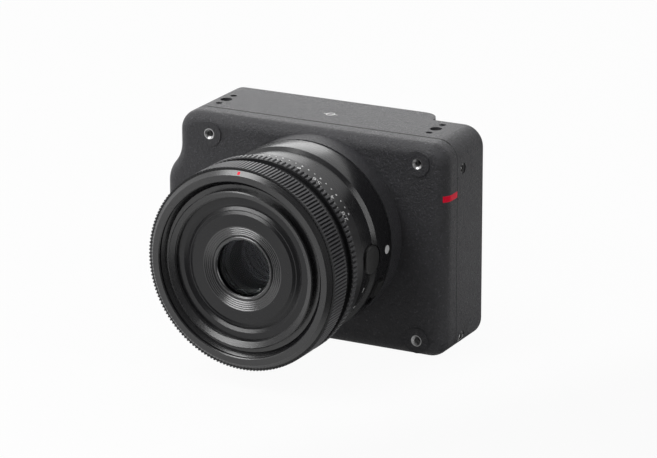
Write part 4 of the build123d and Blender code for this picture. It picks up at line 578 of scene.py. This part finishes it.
def letters(words, height):
    """Raised print of these figures, this high in millimetres, round its own middle."""
    type_curve = bpy.data.curves.new("letters", "FONT")
    figure_share = 0.69
    type_curve.body, type_curve.size, type_curve.extrude = words, height / figure_share, INK
    type_curve.align_x, type_curve.align_y, type_curve.resolution_u = "CENTER", "CENTER", 3
    holder = bpy.data.objects.new("letters", type_curve)
    bpy.context.scene.collection.objects.link(holder)
    mesh = bpy.data.meshes.new_from_object(holder.evaluated_get(bpy.context.evaluated_depsgraph_get()))
    bpy.data.objects.remove(holder)
    return mesh


def print_of(outline, hole=None):
    """Raised print of this outline, with a hole of as many corners if one is given."""
    shape = bmesh.new()
    loops = [outline, hole] if hole else [outline]
    rings = [[shape.verts.new((x, y, z)) for x, y in loop] for loop in loops for z in (-INK, INK)]
    low, high = rings[0], rings[1]
    for i in range(len(outline)):
        j = (i + 1) % len(outline)
        shape.faces.new((low[i], low[j], high[j], high[i]))
        if hole:
            shape.faces.new((rings[2][j], rings[2][i], rings[3][i], rings[3][j]))
            shape.faces.new((high[i], high[j], rings[3][j], rings[3][i]))
            shape.faces.new((low[j], low[i], rings[2][i], rings[2][j]))
    if not hole:
        shape.faces.new(high)
        shape.faces.new(low[::-1])
    mesh = bpy.data.meshes.new("print")
    shape.to_mesh(mesh)
    shape.free()
    return mesh


def round_outline(radius, corners=28):
    """Outline of a disc."""
    return [(radius * math.cos(math.tau * i / corners), radius * math.sin(math.tau * i / corners))
            for i in range(corners)]


def bar_outline(width, height):
    """Outline of a bar."""
    x, y = width / 2, height / 2
    return [(-x, -y), (x, -y), (x, y), (-x, y)]


def round_lens(mesh, radius, angle, ahead):
    """Wraps a print round the lens: its right goes on round the axis and its top points to the front."""
    for vertex in mesh.vertices:
        turn = math.radians(angle) + vertex.co.x / radius
        out = radius + vertex.co.z
        vertex.co = Vector((out * math.cos(turn), FLANGE_Y - ahead - vertex.co.y,
                            AXIS_Z + out * math.sin(turn))) * MM
    return mesh


def printed(name, meshes, finish, body="camera"):
    """One piece from several prints, which rides on this body."""
    shape = bmesh.new()
    for mesh in meshes:
        shape.from_mesh(mesh)
    same_corner = 0.0001
    bmesh.ops.remove_doubles(shape, verts=shape.verts, dist=same_corner * MM)
    bmesh.ops.recalc_face_normals(shape, faces=shape.faces)
    placed(name, shape, finish, body, 25.0)


STOPS = ("22", "16", "11", "8", "5.6", "4", "2.8")
FIRST_STOP_ANGLE, STOP_TURN = 109.0, -13.0
LAND_RADIUS = 32.6
FIGURE_HEIGHT, FIGURES_AHEAD, DOTS_AHEAD = 2.0, 4.0, 1.4
STOP_DOT, THIRD_DOT = 0.36, 0.27
land_back = FLANGE_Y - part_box("aperture_ring")[1].y / MM
scale = []
for number, stop in enumerate(STOPS):
    angle = FIRST_STOP_ANGLE + number * STOP_TURN
    scale.append(round_lens(letters(stop, FIGURE_HEIGHT), LAND_RADIUS, angle, land_back + FIGURES_AHEAD))
    dots = (STOP_DOT, THIRD_DOT, THIRD_DOT) if number < len(STOPS) - 1 else (STOP_DOT,)
    for third, dot_radius in enumerate(dots):
        dot = print_of(round_outline(dot_radius, 12))
        scale.append(round_lens(dot, LAND_RADIUS, angle + third * STOP_TURN / 3, land_back + DOTS_AHEAD))
printed("aperture_scale", scale, ink, "aperture_ring")

STEP_RADIUS = 31.4
MOUNTING_DOT, MOUNTING_DOT_AHEAD = 1.5, 4.0
INDEX_WIDTH, INDEX_LENGTH, INDEX_SETBACK = 0.4, 2.0, 1.6
SWITCH_BAR_WIDTH, SWITCH_BAR_HEIGHT = 1.7, 0.45
SWITCH_RING, SWITCH_RING_HOLE, RING_CORNERS = 0.55, 0.3, 16
SWITCH_MARKS_AHEAD = 15.2
RIGHT_SWITCH_ANGLES, LEFT_SWITCH_ANGLES = (-21.0, -34.0), (201.0, 214.0)
barrel_radius = (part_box("lens_barrel")[1].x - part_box("lens_barrel")[0].x) / 2 / MM
mounting_dot = print_of(round_outline(MOUNTING_DOT))
scale_index = print_of(bar_outline(INDEX_WIDTH, INDEX_LENGTH))
index_marks = [round_lens(mounting_dot, barrel_radius, 0.0, MOUNTING_DOT_AHEAD),
               round_lens(scale_index, STEP_RADIUS, 90.0, land_back - INDEX_SETBACK)]
for bar_angle, ring_angle in (RIGHT_SWITCH_ANGLES, LEFT_SWITCH_ANGLES):
    bar = print_of(bar_outline(SWITCH_BAR_WIDTH, SWITCH_BAR_HEIGHT))
    ring = print_of(round_outline(SWITCH_RING, RING_CORNERS), round_outline(SWITCH_RING_HOLE, RING_CORNERS))
    index_marks.append(round_lens(bar, STEP_RADIUS, bar_angle, SWITCH_MARKS_AHEAD))
    index_marks.append(round_lens(ring, STEP_RADIUS, ring_angle, SWITCH_MARKS_AHEAD))
printed("barrel_marks", index_marks, ink)

PLANE_MARK_X, SENSOR_PLANE_Y = -4.25, -0.2
PLANE_RING, PLANE_RING_HOLE = 1.6, 1.25
PLANE_BAR_LENGTH, PLANE_BAR_WIDTH = 5.2, 0.36
plane_mark = [print_of(round_outline(PLANE_RING), round_outline(PLANE_RING_HOLE)),
              print_of(bar_outline(PLANE_BAR_LENGTH, PLANE_BAR_WIDTH))]
for mesh in plane_mark:
    mesh.transform(Matrix.Scale(MM, 4) @ Matrix.Translation((PLANE_MARK_X, SENSOR_PLANE_Y, TOP_Z)))
printed("plane_mark", plane_mark, ink)

ARROW_START, ARROW_TIP, ARROW_WIDTH = 5.6, 6.4, 1.2
PRINT_SINK = 0.019
seen_from_behind = Matrix(((-1, 0, 0, 0), (0, 0, 1, 0), (0, 1, 0, 0), (0, 0, 0, 1)))
pad_low, pad_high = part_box("direction_pad")
pad_face = Matrix.Translation(((pad_low.x + pad_high.x) / 2, pad_high.y - PRINT_SINK * MM,
                               (pad_low.z + pad_high.z) / 2))
arrows = []
for quarter in range(4):
    arrow = print_of([(-ARROW_WIDTH / 2, ARROW_START), (ARROW_WIDTH / 2, ARROW_START), (0.0, ARROW_TIP)])
    arrow.transform(pad_face @ Matrix.Rotation(quarter * math.tau / 4, 4, "Y") @ Matrix.Scale(MM, 4)
                    @ seen_from_behind)
    arrows.append(arrow)
printed("pad_arrows", arrows, ink, "direction_pad")

RIM_MARK_WIDTH, RIM_MARK_HEIGHT = 0.9, 1.1
RIM_MARK_RADIUS, RIM_MARK_SETBACK = 32.7, 0.7
BEVEL_SLOPE = math.sqrt(0.5)
rim_front = FLANGE_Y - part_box("front_ring")[0].y / MM
rim_mark = print_of(bar_outline(RIM_MARK_WIDTH, RIM_MARK_HEIGHT))
for vertex in rim_mark.vertices:
    slant = vertex.co.y * BEVEL_SLOPE
    vertex.co = Vector((vertex.co.x, FLANGE_Y - (rim_front - RIM_MARK_SETBACK) - slant - vertex.co.z,
                        AXIS_Z + RIM_MARK_RADIUS - slant + vertex.co.z)) * MM
printed("rim_mark", [rim_mark], red)


# Glass: ground elements and the sensor's cover glass, each with its own coating. A coating takes nearly
# all of the reflection away; these colours are what is left of it.
COATINGS = {
    "front_element": ("camera", (0.006, 0.008, 0.014)), "second_element": ("camera", (0.1, 0.09, 0.11)),
    "focus_element": ("focus_group", (0.04, 0.05, 0.04)), "rear_element": ("camera", (0.025, 0.02, 0.04)),
    "sensor_glass": ("camera", (0.12, 0.20, 0.16)),
}
for node, (body, residue) in COATINGS.items():
    glass = Finish(node + "_glass", Roughness=0.0, IOR=1.52, Transmission_Weight=1.0,
                   Specular_Tint=grey(1.0, residue))
    glass_tone = glass.blend(glass.noise(0.1), grey(1.0, (0.90, 0.96, 0.93)), grey(1.0, (0.95, 0.94, 0.97)))
    glass.wear(Base_Color=glass_tone)
    smoothed(node, glass, body)


# Iris blades: seven thin leaves of blackened spring steel, stacked like shingles round the opening. Each
# turns on its own pivot.
BLADES = 7
blade_black = Finish("blade_black", Metallic=0.6)
blade_black.wear(Base_Color=blade_black.blend(blade_black.noise(2.0), grey(0.01), grey(0.02)),
                 Roughness=0.4 + 0.15 * blade_black.noise(3.0))
for number in range(1, BLADES + 1):
    smoothed("iris_blade_%d" % number, blade_black, "blade_%d" % number)


# Studio: the camera stands on a pale sweep before a white backdrop. The sweep's colour, and the glow it shows
# in reflections, are painted darker towards the camera's front right, with a painted shadow in that glow
# close by its right wall. One soft box hangs overhead, a wide one stands in front, one rakes the top from
# behind, and a narrow one on the right picks out the edges.
floor_white = Finish("floor_white", Roughness=0.95, IOR=1.2)


def fading(value, start, end):
    """1 up to the start and 0 from the end on, with a smooth fall between."""
    fall = floor_white.add("MapRange", {"interpolation_type": "SMOOTHSTEP"}, {
        "Value": value, "From Min": start, "From Max": end, "To Min": 1.0, "To Max": 0.0})
    return Value(floor_white, fall.outputs[0])


WALL_SIDE_X, WALL_FRONT_Y = 45.0, -20.0
# The sweep's colour and its glow in reflections are painted darker towards the front right, as painted shade,
# and a painted shadow darkens that glow close by the right wall.
toward_right = floor_white.x - 0.5 * floor_white.y + 4.0 * floor_white.noise(0.01)
painted_floor_light = fading(toward_right, start=70.0, end=125.0)
painted_wall_shadow = (fading(floor_white.x, start=70.0, end=140.0) * (floor_white.x > WALL_SIDE_X)
               * (floor_white.y > WALL_FRONT_Y))
floor_white.wear(Base_Color=floor_white.blend(painted_floor_light, grey(0.12), grey(0.58)))
rays = floor_white.add("LightPath").outputs
seen = Value(floor_white, rays["Is Camera Ray"])
mirrored = Value(floor_white, rays["Is Glossy Ray"]) + Value(floor_white, rays["Is Transmission Ray"])
glow = floor_white.add("Emission", {}, {"Color": grey(1.0), "Strength": 1.0})
lit = floor_white.add("MixShader", {}, {
    0: 0.95 * seen + 0.3 * mirrored * painted_floor_light * (1 - painted_wall_shadow), 1: floor_white.shader.outputs[0],
    2: glow.outputs[0]})
floor_white.tree.links.new(lit.outputs[0], floor_white.tree.nodes["Material Output"].inputs["Surface"])
SWEEP_HALF_WIDTH = 6.0
sweep = bmesh.new()
bmesh.ops.create_grid(sweep, x_segments=1, y_segments=1, size=SWEEP_HALF_WIDTH)
floor_mesh = bpy.data.meshes.new("floor")
sweep.to_mesh(floor_mesh)
sweep.free()
floor_mesh.materials.append(floor_white.material)
floor = bpy.data.objects.new("floor", floor_mesh)
bpy.context.scene.collection.objects.link(floor)

BACKDROP_WAY = (-0.6, 0.66, 0.42)
ROOM_LEVEL, BACKDROP_LEVEL = 0.12, 0.95
world = bpy.data.worlds.new("studio")
bpy.context.scene.world = world
world.use_nodes = True
room = world.node_tree
room_rays = node_in(room, "ShaderNodeLightPath")
sky = node_in(room, "ShaderNodeTexCoord")
toward = node_in(room, "ShaderNodeVectorMath", {"operation": "DOT_PRODUCT"}, {
    0: sky.outputs["Generated"], 1: BACKDROP_WAY})
backdrop = node_in(room, "ShaderNodeMapRange", {"interpolation_type": "SMOOTHSTEP"}, {
    "Value": toward.outputs["Value"], "From Min": -0.1, "From Max": 0.75, "To Min": ROOM_LEVEL,
    "To Max": BACKDROP_LEVEL})
shown = node_in(room, "ShaderNodeMath", {"operation": "ADD", "use_clamp": True}, {
    0: room_rays.outputs["Is Camera Ray"], 1: backdrop.outputs[0]})
background = room.nodes["Background"]
background.inputs["Color"].default_value = grey(1.0)
room.links.new(shown.outputs[0], background.inputs["Strength"])


def soft_box(name, place, size, power):
    """Area lamp at this place, turned to the camera's middle: size is its width and height, in metres."""
    lamp = bpy.data.lights.new(name, "AREA")
    lamp.shape, lamp.energy = "RECTANGLE", power
    lamp.size, lamp.size_y = size
    stand = bpy.data.objects.new(name, lamp)
    stand.location = place
    camera_middle = Vector((0.0, -0.02, 0.04))
    stand.rotation_euler = (camera_middle - Vector(place)).to_track_quat("-Z", "Y").to_euler()
    bpy.context.scene.collection.objects.link(stand)


soft_box("top_box", (-0.45, -0.35, 1.1), (0.6, 0.6), power=5.6)
soft_box("front_box", (-0.5, -1.0, 0.75), (1.0, 0.25), power=6.0)
soft_box("rake_box", (-0.55, 1.0, 0.42), (0.6, 0.6), power=1.8)
soft_box("edge_box", (0.95, -0.18, 0.45), (0.2, 0.9), power=2.6)

AZIMUTH, ELEVATION, ROLL = math.radians(27.638), math.radians(17.694), math.radians(-0.150)
AIM, DISTANCE = Vector((0.00470, -0.019, 0.04003)), 1.2074
FOCAL_PIXELS, PICTURE_PIXELS, FILM_WIDTH = 3613.40, 657, 36.0
back = Vector((math.sin(AZIMUTH) * math.cos(ELEVATION), -math.cos(AZIMUTH) * math.cos(ELEVATION),
               math.sin(ELEVATION)))
view = bpy.data.cameras.new("view")
view.sensor_width = FILM_WIDTH
view.lens = FOCAL_PIXELS / PICTURE_PIXELS * FILM_WIDTH
camera = bpy.data.objects.new("view", view)
camera.location = AIM + back * DISTANCE
camera.rotation_mode = "QUATERNION"
camera.rotation_quaternion = (-back).to_track_quat("-Z", "Y") @ Matrix.Rotation(ROLL, 3, "Z").to_quaternion()
bpy.context.scene.collection.objects.link(camera)
bpy.context.scene.camera = camera
bpy.context.scene.view_settings.view_transform = "Standard"
